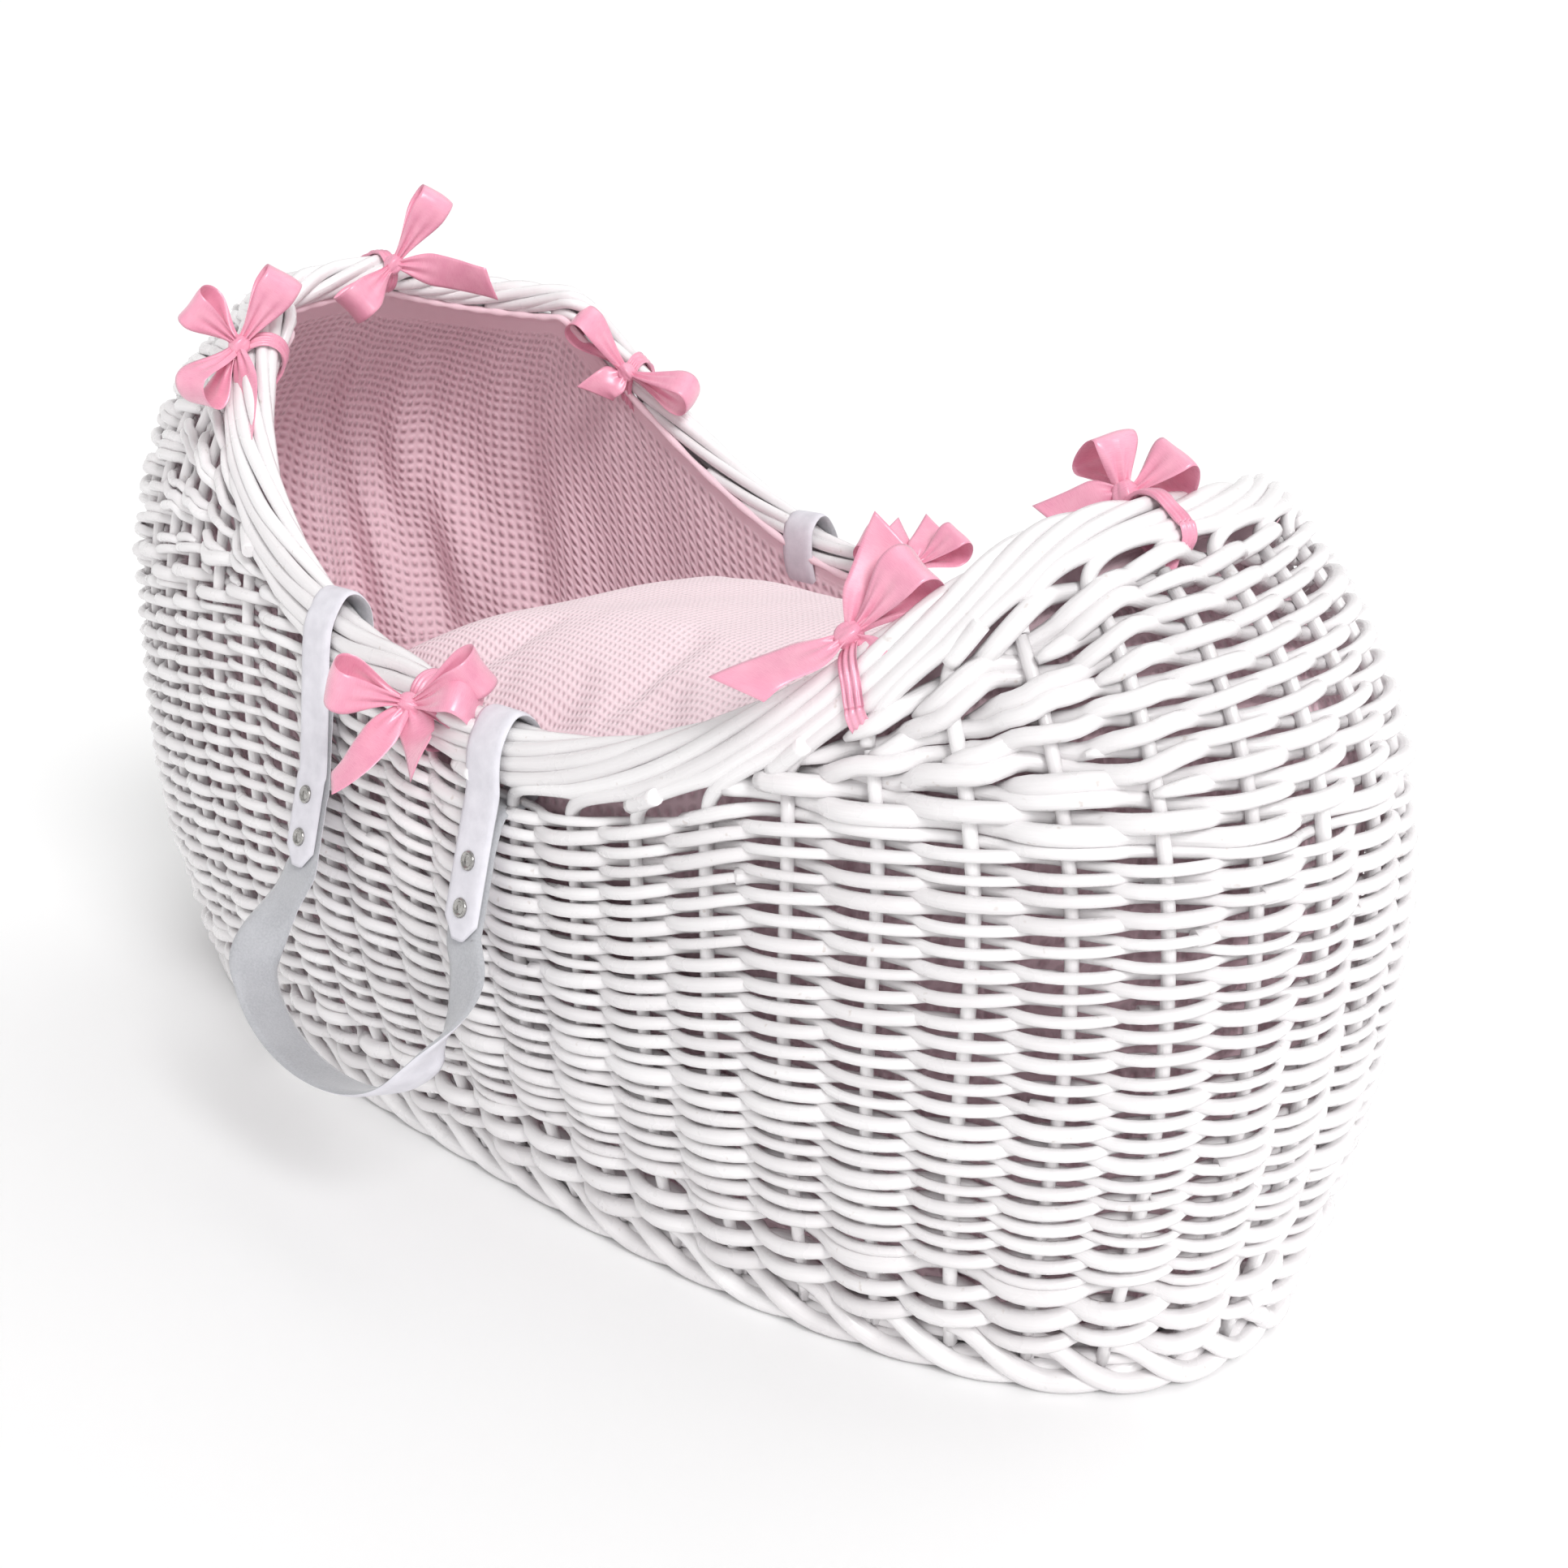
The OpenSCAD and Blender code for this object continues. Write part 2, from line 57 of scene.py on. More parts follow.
HALF_LEN, HALF_W, SIDE_W = 395.0, 144.0, 184.0
FOOT_FLARE, HEAD_FLARE = 36.0, 25.0
WAIST_H, FOOT_H, HEAD_H = 265.0, 380.0, 460.0
FOOT_WIDE_H, HEAD_WIDE_H, SIDE_WIDE_H = 200.0, 268.0, 177.0
FOOT_CLOSE, HEAD_CLOSE, SIDE_CLOSE = 357.0, 426.0, 236.0
DOME_POWER = 2.4
PLAN_POWER = 2.6
MID_X = (FOOT_FLARE - HEAD_FLARE) / 2
FOOT_CROWN, HEAD_CROWN, SIDE_CROWN = FOOT_H + 60, HEAD_H + 26, HEAD_H + 60
FOOT_SEAM, HEAD_SEAM = 260.0, 282.0
STAKES = 52
BORDER = 32.0


def squared(v):
    """Bends a sine or cosine so that the plan is squarer than an oval."""
    return np.sign(v) * np.abs(v) ** (2 / PLAN_POWER)


def swell(z, low, wide, wide_z, crown_z, close):
    """Half the pod's size at a height: it widens up to wide_z, then closes in towards the crown."""
    below = wide - (wide - low) * (1 - z / wide_z) ** 2
    rise = np.maximum(0, (z - wide_z) / (crown_z - wide_z))
    dome = np.maximum(0, 1 - rise ** DOME_POWER) ** (1 / DOME_POWER)
    return np.where(z < wide_z, below, wide - close * (1 - dome))


def skin(a, z):
    """A point of the outer surface."""
    z = np.asarray(z, float)
    c, s = np.cos(np.radians(a)), np.sin(np.radians(a))
    foot = swell(z, HALF_LEN, HALF_LEN + FOOT_FLARE, FOOT_WIDE_H, FOOT_CROWN, FOOT_CLOSE)
    head = swell(z, HALF_LEN, HALF_LEN + HEAD_FLARE, HEAD_WIDE_H, HEAD_CROWN, HEAD_CLOSE)
    side = swell(z, HALF_W, SIDE_W, SIDE_WIDE_H, SIDE_CROWN, SIDE_CLOSE)
    x = np.where(c > 0, foot, head) * squared(c) - MID_X
    return np.stack(np.broadcast_arrays(x, side * squared(s), z), -1)


def unit(v):
    return v / np.maximum(np.linalg.norm(v, axis=-1, keepdims=True), 1e-9)


def run_along(path):
    """The distance along a path at each of its points."""
    return np.concatenate([[0], np.cumsum(np.linalg.norm(np.diff(path, axis=0), axis=1))])


def along(a, z):
    """The way round the wall at a point."""
    return skin(a + 1, z) - skin(a - 1, z)


def up_wall(a, z):
    return unit(skin(a, z + 1) - skin(a, z - 1))


def outward(a, z):
    return unit(np.cross(along(a, z), up_wall(a, z)))


def wall(a, z, depth):
    """A point at a depth inside the outer surface."""
    return skin(a, z) - np.asarray(depth, float)[..., None] * outward(a, z)


def smooth(t):
    """Eases from 0 to 1."""
    u = np.clip(t, 0, 1)
    return u * u * (3 - 2 * u)


def folded(a):
    """An angle's distance from the foot, 0 to 180, the same on both sides."""
    return np.abs((np.asarray(a, float) + 180) % 360 - 180)


def rim_z(a):
    """Height of the rim: high at the foot, low at the waist, highest at the head."""
    d = folded(a)
    t = np.maximum(0, (d - 80) / 100)
    foot = WAIST_H + (FOOT_H - WAIST_H) * (1 - smooth(d / 80) ** 2)
    head = WAIST_H + (HEAD_H - WAIST_H) * (0.88 * smooth(t / 0.45) + 0.12 * t * t)
    return np.where(d < 80, foot, head)


def below_rim(a, dist):
    """Height of the line a distance below the rim, measured square to it on the wall."""
    rim = unit(skin(a + 1, rim_z(a + 1)) - skin(a - 1, rim_z(a - 1)))
    up = up_wall(a, rim_z(a))
    return rim_z(a) - dist * up[..., 2] / np.linalg.norm(np.cross(rim, up), axis=-1)


GIRTH_ANGLES = np.arange(-180, 181, 1.0)
GIRTH_RUN = run_along(skin(GIRTH_ANGLES, SIDE_WIDE_H))
GIRTH = GIRTH_RUN[-1]


def angle(u):
    """The angle at a number of stake steps from the head, going by the near side."""
    turns = np.floor(np.asarray(u, float) / STAKES)
    return np.interp(u / STAKES - turns, GIRTH_RUN / GIRTH, GIRTH_ANGLES) + 360 * turns


def seam(a):
    """Height where the fine weave stops, eased from the foot's seam to the head's."""
    return FOOT_SEAM + (HEAD_SEAM - FOOT_SEAM) * smooth((folded(a) - 75) / 30)


def weave_top(a):
    """Top of the fine weave: the seam, or the border where that is lower, with a soft corner."""
    p, q = seam(a), below_rim(a, BORDER)
    return 0.5 * (p + q - np.sqrt((p - q) ** 2 + 60))


# ---- Mesh building ----


def show(obj):
    """Puts an object in the scene."""
    bpy.context.scene.collection.objects.link(obj)


class Batch:
    """Rows of points that become one mesh, with UVs in metres and a tone for each row."""

    def __init__(self):
        self.points, self.loops, self.sizes, self.uvs, self.tones = [], [], [], [], []
        self.mats = []
        self.count = 0

    def grid(self, p, uv, tone, closed=False, mat=0):
        """p is (n, m, 3); uv is (n, m, 2), or (n, m + 1, 2) when the rings close; tone is one
        number or (n, m)."""
        n, m = p.shape[:2]
        i, j = np.meshgrid(np.arange(n - 1), np.arange(m if closed else m - 1), indexing="ij")
        i, j = i.ravel(), j.ravel()
        k = (j + 1) % m
        quad = np.stack([i * m + j, i * m + k, (i + 1) * m + k, (i + 1) * m + j], 1) + self.count
        corner = np.stack([uv[i, j], uv[i, j + 1], uv[i + 1, j + 1], uv[i + 1, j]], 1)
        self.points.append(p.reshape(-1, 3))
        self.loops.append(quad.ravel())
        self.sizes.append(np.full(len(quad), 4))
        self.uvs.append(corner.reshape(-1, 2))
        self.tones.append(np.broadcast_to(tone, (n, m)).ravel())
        self.mats.append(np.full(len(quad), mat) if np.ndim(mat) == 0 else mat)
        self.count += n * m

    def cap(self, ring, uv, mat=0):
        """A flat face over a ring of point numbers."""
        self.loops.append(np.asarray(ring))
        self.sizes.append(np.array([len(ring)]))
        self.uvs.append(uv)
        self.mats.append(np.array([mat]))

    def tube(self, path, radius, normals, sides=8, tone=0.5, ends=True):
        """A rod along a path, with flat cut ends."""
        t = unit(np.gradient(path, axis=0))
        n = unit(normals - np.sum(normals * t, -1, keepdims=True) * t)
        b = np.cross(t, n)
        w = np.linspace(0, 2 * np.pi, sides + 1)
        r = np.broadcast_to(radius, len(path))
        ring = path[:, None] + r[:, None, None] * (
            np.cos(w[:-1])[None, :, None] * n[:, None] + np.sin(w[:-1])[None, :, None] * b[:, None])
        run = run_along(path)
        uv = np.stack(np.broadcast_arrays(w[None] * np.mean(r), run[:, None] + 37 * tone), -1) * MM
        base = self.count
        self.grid(ring, uv, tone, closed=True)
        if ends:
            disc = np.stack([np.cos(w[:-1]), np.sin(w[:-1])], 1) * np.mean(r) * MM
            self.cap(base + np.arange(sides)[::-1], disc[::-1])
            self.cap(base + (len(path) - 1) * sides + np.arange(sides), disc)

    def rod(self, a, z, depth, radius, sides):
        """A rod that follows the wall at a depth inside it, in a tone of its own."""
        self.tube(wall(a, z, depth), radius, outward(a, z), sides, rng.uniform(0, 1))

    def slab(self, path, wide, half, thick, tone=0.5, across=7, mats=(0, 0), curl=0.0):
        """A flat strip: its width lies along `wide`, and `curl` raises it off its middle plane."""
        t = unit(np.gradient(path, axis=0))
        face = unit(np.cross(t, wide))
        wide = np.cross(face, t)
        half = np.broadcast_to(half, len(path))
        s = np.linspace(-1, 1, across)
        rise = np.broadcast_to(curl, (len(path), across))
        mid = path[:, None] + (half[:, None] * s)[..., None] * wide[:, None] + rise[..., None] * face[:, None]
        edge = np.minimum(1, 1.12 - np.abs(s) ** 6)[None, :, None] * thick / 2 * face[:, None]
        p = np.concatenate([mid + edge, (mid - edge)[:, ::-1]], 1)
        run = run_along(path)
        x = np.concatenate([s, s[::-1], s[:1]]) * np.mean(half)
        uv = np.stack(np.broadcast_arrays(x[None], run[:, None]), -1) * MM
        m = 2 * across
        quads = np.tile(np.where(np.arange(m) < across, mats[0], mats[1]), len(path) - 1)
        base = self.count
        self.grid(p[:, ::-1], uv[:, ::-1], tone, closed=True, mat=quads[::-1])
        flat = np.zeros((m, 2))
        self.cap(base + np.arange(m)[::-1], flat)
        self.cap(base + (len(path) - 1) * m + np.arange(m), flat)

    def make(self, name, materials, body="basket"):
        """The mesh object, in metres."""
        me = bpy.data.meshes.new(name)
        points = np.concatenate(self.points) * MM
        loops = np.concatenate(self.loops)
        sizes = np.concatenate(self.sizes)
        me.vertices.add(len(points))
        me.vertices.foreach_set("co", points.ravel())
        me.loops.add(len(loops))
        me.loops.foreach_set("vertex_index", loops)
        me.polygons.add(len(sizes))
        me.polygons.foreach_set("loop_start", np.concatenate([[0], np.cumsum(sizes)[:-1]]))
        me.polygons.foreach_set("material_index", np.concatenate(self.mats).astype(np.int32))
        me.update(calc_edges=True)
        layer = me.uv_layers.new(name="UVMap")
        layer.data.foreach_set("uv", np.concatenate(self.uvs).ravel())
        tone = me.attributes.new("tone", "FLOAT", "POINT")
        tone.data.foreach_set("value", np.concatenate(self.tones).astype(np.float32))
        me.polygons.foreach_set("use_smooth", (sizes == 4))
        for m in materials:
            me.materials.append(m)
        me.validate()
        obj = bpy.data.objects.new(name, me)
        show(obj)
        if body:
            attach(obj, body)
        return obj


def curve_through(points, steps):
    """A smooth path through given points (Catmull-Rom)."""
    p = np.asarray(points, float)
    p = np.concatenate([2 * p[:1] - p[1:2], p, 2 * p[-1:] - p[-2:-1]])
    n = len(p) - 3
    t = np.linspace(0, n, steps)
    i = np.minimum(t.astype(int), n - 1)
    f = (t - i)[:, None]
    a, b, c, d = p[i], p[i + 1], p[i + 2], p[i + 3]
    return 0.5 * (2 * b + (c - a) * f + (2 * a - 5 * b + 4 * c - d) * f ** 2
                  + (3 * b - 3 * c + d - a) * f ** 3)


# ---- Materials ----


def add(tree, kind, inputs=None, **props):
    """A shader node with its inputs set or linked."""
    node = tree.nodes.new(kind)
    for key, value in props.items():
        setattr(node, key, value)
    for key, value in (inputs or {}).items():
        if isinstance(value, bpy.types.NodeSocket):
            tree.links.new(value, node.inputs[key])
        else:
            node.inputs[key].default_value = value
    return node


def material(name, **sockets):
    """A new material with some of its shader's values set."""
    mat = bpy.data.materials.new(name)
    mat.use_nodes = True
    shader = mat.node_tree.nodes["Principled BSDF"]
    for key, value in sockets.items():
        shader.inputs[key.replace("_", " ")].default_value = value
    return mat, mat.node_tree, shader


def place_on(tree, kind):
    """Texture coordinates: "UV" along a rod or cloth, or "Object" through the piece."""
    return add(tree, "ShaderNodeTexCoord").outputs[kind]


def noise(tree, coords, scale, detail=2.0, stretch=(1, 1, 1)):
    moved = add(tree, "ShaderNodeVectorMath", {0: coords, 1: stretch}, operation="MULTIPLY")
    return add(tree, "ShaderNodeTexNoise",
               {"Vector": moved.outputs[0], "Scale": scale, "Detail": detail}).outputs["Fac"]


def between(tree, fac, low, high, lo=0.35, hi=0.65):
    """A number or colour that follows fac between two values."""
    if isinstance(low, tuple):
        ramp = add(tree, "ShaderNodeValToRGB", {0: fac})
        ramp.color_ramp.elements[0].position = lo
        ramp.color_ramp.elements[0].color = low + (1,)
        ramp.color_ramp.elements[1].position = hi
        ramp.color_ramp.elements[1].color = high + (1,)
        return ramp.outputs[0]
    return add(tree, "ShaderNodeMapRange",
               {0: fac, 1: lo, 2: hi, 3: low, 4: high}).outputs[0]


def math_node(tree, op, a, b=0.0):
    return add(tree, "ShaderNodeMath", {0: a, 1: b}, operation=op).outputs[0]


def mix(tree, fac, a, b, mode="MIX"):
    node = add(tree, "ShaderNodeMix", data_type="RGBA", blend_type=mode)
    for i, value in ((0, fac), (6, a), (7, b)):
        if isinstance(value, bpy.types.NodeSocket):
            tree.links.new(value, node.inputs[i])
        else:
            node.inputs[i].default_value = value + (1,) if isinstance(value, tuple) else value
    return node.outputs[2]


def surface(tree, shader, colour, height, strength, distance, rough=None):
    """Gives a shader its colour, its bump and, where it varies, its roughness."""
    node = add(tree, "ShaderNodeBump", {"Height": height, "Strength": strength, "Distance": distance})
    tree.links.new(node.outputs[0], shader.inputs["Normal"])
    tree.links.new(colour, shader.inputs["Base Color"])
    if rough:
        tree.links.new(rough, shader.inputs["Roughness"])


def willow_paint():
    """Gloss white paint over willow: long grain, thin spots, a few bare flecks."""
    mat, tree, shader = material("willow_paint", Coat_Weight=0.45, Coat_Roughness=0.16, IOR=1.5)
    uv = place_on(tree, "UV")
    place = place_on(tree, "Object")
    tone = add(tree, "ShaderNodeAttribute", attribute_name="tone").outputs["Fac"]
    grain = noise(tree, uv, 1.0, 4.0, (1500, 60, 1))
    lumps = noise(tree, place, 70.0, 3.0)
    flecks = noise(tree, place, 210.0, 2.0)
    base = between(tree, tone, (0.80, 0.775, 0.785), (0.90, 0.885, 0.892), 0.0, 1.0)
    base = mix(tree, between(tree, grain, 0.0, 0.35, 0.35, 0.75), base, (0.80, 0.775, 0.78))
    base = mix(tree, between(tree, flecks, 0.0, 0.55, 0.70, 0.78), base, (0.60, 0.53, 0.49))
    height = math_node(tree, "ADD", grain, math_node(tree, "MULTIPLY", lumps, 1.6))
    surface(tree, shader, base, height, 0.35, 0.0006, between(tree, lumps, 0.22, 0.46))
    return mat


def cut_end():
    """The sawn end of a rod: painted, with a faint pith and rings."""
    mat, tree, shader = material("rod_end", Roughness=0.5)
    uv = place_on(tree, "UV")
    far = add(tree, "ShaderNodeVectorMath", {0: uv}, operation="LENGTH").outputs["Value"]
    rings = math_node(tree, "SINE", math_node(tree, "MULTIPLY", far, 5200.0))
    base = between(tree, rings, (0.66, 0.62, 0.56), (0.84, 0.82, 0.79), 0.1, 0.9)
    surface(tree, shader, base, rings, 0.3, 0.0004)
    return mat


WAFFLE_FUZZ = 0.125


def waffle(name, ridge, pit_shade, cell, depth):
    """Waffle cotton: square pits between raised threads, flattened where the tone is 0. The pits get a darker
    colour as painted shade in the hollows.
    """
    mat, tree, shader = material(name, Roughness=0.92, Sheen_Weight=0.35, Sheen_Roughness=0.5,
                                 Specular_IOR_Level=0.2)
    uv = place_on(tree, "UV")
    tone = add(tree, "ShaderNodeAttribute", attribute_name="tone").outputs["Fac"]
    wobble = add(tree, "ShaderNodeTexNoise", {"Vector": uv, "Scale": 45.0, "Detail": 1.0})
    shift = add(tree, "ShaderNodeVectorMath", {0: wobble.outputs["Color"], 1: (cell * 0.5,) * 3},
                operation="MULTIPLY").outputs[0]
    moved = add(tree, "ShaderNodeVectorMath", {0: uv, 1: shift}, operation="ADD").outputs[0]
    xy = add(tree, "ShaderNodeSeparateXYZ", {0: moved})
    waves = [math_node(tree, "ABSOLUTE", math_node(
        tree, "SINE", math_node(tree, "MULTIPLY", xy.outputs[i], math.pi / cell))) for i in (0, 1)]
    hollow = math_node(tree, "POWER", math_node(tree, "MULTIPLY", *waves), 2.2)
    hollow = math_node(tree, "MULTIPLY", hollow, tone)
    threads = noise(tree, uv, 1.0, 2.0, (2600, 2600, 1))
    soft = noise(tree, uv, 9.0, 2.0)
    # Painted shade: the pits are drawn in the darker pit colour, and the threads are flecked with the same
    # colour.
    base = mix(tree, between(tree, hollow, 0.0, 0.75, 0.25, 1.0), ridge, pit_shade)
    base = mix(tree, between(tree, threads, 0.0, 0.22, 0.3, 0.7), base, pit_shade)
    base = mix(tree, between(tree, soft, 0.0, 0.12), base, ridge)
    height = math_node(tree, "SUBTRACT", math_node(tree, "MULTIPLY", threads, WAFFLE_FUZZ), hollow)
    surface(tree, shader, base, height, 0.9, depth)
    return mat


def satin():
    """Satin ribbon: a silky face with fine cross threads."""
    mat, tree, shader = material("satin", Anisotropic=0.6, Sheen_Weight=0.3, Specular_IOR_Level=0.9)
    uv = place_on(tree, "UV")
    threads = noise(tree, uv, 1.0, 2.0, (300, 9000, 1))
    broad = noise(tree, uv, 70.0, 2.0)
    base = between(tree, broad, (0.80, 0.29, 0.43), (0.88, 0.38, 0.51))
    # Painted sheen: the fine cross threads are streaked in a lighter pink where the satin catches the light.
    base = mix(tree, between(tree, threads, 0.0, 0.18), base, (0.93, 0.52, 0.62))
    surface(tree, shader, base, threads, 0.15, 0.0002, between(tree, threads, 0.24, 0.36))
    return mat


def leather():
    """Smooth pale leather with fine pores and faint creases."""
    mat, tree, shader = material("leather", Specular_IOR_Level=0.4)
    place = place_on(tree, "Object")
    pores = add(tree, "ShaderNodeTexVoronoi", {"Vector": place, "Scale": 900.0}).outputs["Distance"]
    creases = noise(tree, place, 120.0, 5.0)
    base = between(tree, creases, (0.70, 0.685, 0.74), (0.78, 0.765, 0.82))
    height = math_node(tree, "ADD", pores, creases)
    surface(tree, shader, base, height, 0.25, 0.0003, between(tree, creases, 0.42, 0.58))
    return mat


def suede():
    """The flesh side of the strap: grey nap."""
    mat, tree, shader = material("suede", Roughness=0.95, Sheen_Weight=0.4, Specular_IOR_Level=0.15)
    place = place_on(tree, "Object")
    nap = noise(tree, place, 900.0, 4.0)
    patches = noise(tree, place, 60.0, 3.0)
    base = mix(tree, between(tree, nap, 0.0, 0.6), (0.47, 0.475, 0.50), (0.36, 0.365, 0.39))
    base = mix(tree, between(tree, patches, 0.0, 0.35), base, (0.54, 0.545, 0.57))
    surface(tree, shader, base, nap, 0.5, 0.0005)
    return mat


def nickel():
    """The rivet caps: plated metal, a little worn."""
    mat, tree, shader = material("nickel", Metallic=1.0)
    place = place_on(tree, "Object")
    wear = noise(tree, place, 500.0, 3.0)
    base = between(tree, wear, (0.34, 0.33, 0.32), (0.50, 0.49, 0.47))
    surface(tree, shader, base, wear, 0.1, 0.0001, between(tree, wear, 0.18, 0.34))
    return mat


def ticking():
    """The mattress cover: plain white cotton."""
    mat, tree, shader = material("mattress_cotton", Roughness=0.9, Sheen_Weight=0.25)
    place = place_on(tree, "Object")
    weave = noise(tree, place, 700.0, 2.0)
    soft = noise(tree, place, 25.0, 3.0)
    base = between(tree, soft, (0.83, 0.815, 0.80), (0.89, 0.88, 0.87))
    surface(tree, shader, base, math_node(tree, "ADD", weave, soft), 0.3, 0.0006)
    return mat


WILLOW, ROD_END = willow_paint(), cut_end()
# The second colour of each waffle is the painted shade in its pits.
LINING = waffle("waffle_lining", (0.96, 0.72, 0.785), (0.82, 0.52, 0.60), 0.0072, 0.0022)
COVER = waffle("waffle_coverlet", (0.93, 0.755, 0.80), (0.86, 0.65, 0.70), 0.0036, 0.0009)
SATIN, LEATHER, SUEDE, NICKEL, TICKING = satin(), leather(), suede(), nickel(), ticking()
WOOD = (WILLOW, ROD_END)

# ---- Camera, floor and light ----

CAMERA_PLACE = (0.7325, -0.6377, 0.4853)
CAMERA_AZIMUTH, CAMERA_ELEVATION = 44.83, 17.62
CAMERA_LENS, SENSOR = 41.42, 36
FLOOR_HALF = 60


def make_stage():
    """The camera that took the photo, a white floor, a pale sky and two soft suns."""
    cam = bpy.data.objects.new("camera", bpy.data.cameras.new("camera"))
    cam.location = CAMERA_PLACE
    cam.rotation_euler = (math.radians(90 - CAMERA_ELEVATION), 0, math.radians(CAMERA_AZIMUTH))
    cam.data.lens = CAMERA_LENS
    cam.data.sensor_width = SENSOR
    show(cam)
    scene = bpy.context.scene
    scene.camera = cam

    floor = bpy.data.meshes.new("floor")
    s = FLOOR_HALF
    floor.from_pydata([(-s, -s, 0), (s, -s, 0), (s, s, 0), (-s, s, 0)], [], [(0, 1, 2, 3)])
    mat, tree, shader = material("floor", Roughness=0.9, Specular_IOR_Level=0.0)
    shader.inputs["Base Color"].default_value = (0.97, 0.97, 0.972, 1)
    floor.materials.append(mat)
    ground = bpy.data.objects.new("floor", floor)
    show(ground)

    world = bpy.data.worlds.new("world")
    world.use_nodes = True
    tree = world.node_tree
    sky = place_on(tree, "Generated")
    height = add(tree, "ShaderNodeSeparateXYZ", {0: sky}).outputs[2]
    tree.links.new(between(tree, height, 1.03, 0.55, 0.12, 0.5), tree.nodes["Background"].inputs[1])
    tree.nodes["Background"].inputs[0].default_value = (1, 0.995, 0.99, 1)
    scene.world = world
    for name, heading, spread, power in (("key", (0.76, -0.26, 0.60), 22, 1.8),
                                         ("top", (0.1, 0.5, 0.86), 50, 0.5)):
        light = bpy.data.lights.new(name, "SUN")
        light.angle = math.radians(spread)
        light.energy = power
        lamp = bpy.data.objects.new(name, light)
        lamp.rotation_euler = (-Vector(heading)).to_track_quat("-Z", "Y").to_euler()
        show(lamp)
    scene.view_settings.view_transform = "Standard"


make_stage()

# ---- Willow ----

STAKE_R, STAKE_DEPTH = 3.1, 6.8
WEAVE_ROWS, WEAVE_LOW, WEAVE_R = 41, 61.5, 2.75
WALE_ROWS, WALE_LOW, WALE_PITCH, WALE_R = 5, 27, 7.6, 3.9
BASE_ROWS, BASE_Z, BASE_PITCH, BASE_R = 19, 17.5, 6.4, 3.1


def rods(batch, name, *nodes):
    """Makes a mesh of painted rods, which stands for some nodes of the CAD."""
    piece = batch.make(name, WOOD)
    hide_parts(*nodes)
    return piece


def parity(u):
    """1 where an even row passes in front of a stake, -1 where it passes behind."""
    c = np.cos(np.pi * (u - 0.5))
    return np.sign(c) * np.abs(c) ** 0.7


def rod_lengths(first, last, low, high):
    """Splits a stretch of the wall into rods of random length, which overlap a little."""
    start = first
    while start < last - 1:
        end = min(last, start + rng.uniform(low, high))
        if last - end < 3:
            end = last
        yield start, end
        start = end - 0.7


def woven_row(batch, k, height, r, first=0.0, last=float(STAKES), slant=0.15, samples=7, sides=8,
              wander=0.4, low=9, high=15, thin=None):
    """One row of weavers. height gives its z at a stake step; slant lifts each stroke to the right."""
    sign = 1 if k % 2 == 0 else -1
    offset = rng.uniform(0, 6) if last - first >= STAKES else 0
    knots = np.arange(math.floor(first) - 2, math.ceil(last) + 9)
    shift = rng.normal(0, wander, len(knots))
    for start, end in rod_lengths(first + offset, last + offset, low, high):
        n = max(6, int((end - start) * samples))
        u = np.linspace(start, end, n)
        a = angle(u)
        share = (u - start) / (end - start)
        radius = r * (1.22 - 0.46 * share) * rng.uniform(0.9, 1.08)
        radius = radius * (1 + 0.05 * sign * parity(u)) * (1 if thin is None else thin(u))
        inside = 1.8 * (smooth(1 - (u - start) / 0.5) + smooth(1 - (end - u) / 0.5))
        depth = STAKE_DEPTH - sign * parity(u) * 0.82 * (STAKE_R + r) + inside
        lift = slant * r * 2 * sign * np.sin(np.pi * (u - 0.5))
        z = height(u) + np.interp(u, knots, shift) + lift
        batch.rod(a, z, depth, radius, sides)


def wall_rows():
    """The fine weave from the thick band at the bottom up to the seam."""
    batches = [Batch(), Batch()]
    for k in range(WEAVE_ROWS):
        share = (k + 0.5) / WEAVE_ROWS
        thick = WEAVE_R * rng.uniform(0.88, 1.12) * (1.22 if rng.random() < 0.12 else 1)
        woven_row(batches[k >= WEAVE_ROWS // 2], k,
                  lambda u: WEAVE_LOW + (weave_top(angle(u)) - WEAVE_LOW) * share, thick,
                  slant=0.14, wander=0.6)
    names = "wall_weave_low", "wall_weave_high"
    return [rods(batch, name, "wall_weave") for batch, name in zip(batches, names)]


def lower_rows():
    """The thick band at the bottom of the wall."""
    batch = Batch()
    for k in range(WALE_ROWS):
        woven_row(batch, k, lambda u: WALE_LOW + WALE_PITCH * k + 0 * u, WALE_R, sides=10,
                  slant=0.18, wander=0.7)
    return [rods(batch, "lower_wale_rods", "lower_wale")]


def stake_rods():
    """The upright stakes, each a little bent by the rows that pass it."""
    batch = Batch()
    for i in range(STAKES):
        u = i + 0.5
        z = np.linspace(12, float(below_rim(angle(u), BAND + 16)), 26)
        a = angle(u + 0.04 * np.sin(z / 40 + i)) + 0 * z
        batch.rod(a, z, STAKE_DEPTH + 0 * z, STAKE_R * rng.uniform(0.92, 1.05), 8)
    return [rods(batch, "stake_rods", "stakes")]


PACK_PITCH, PACK_R = 6.4, 3.5


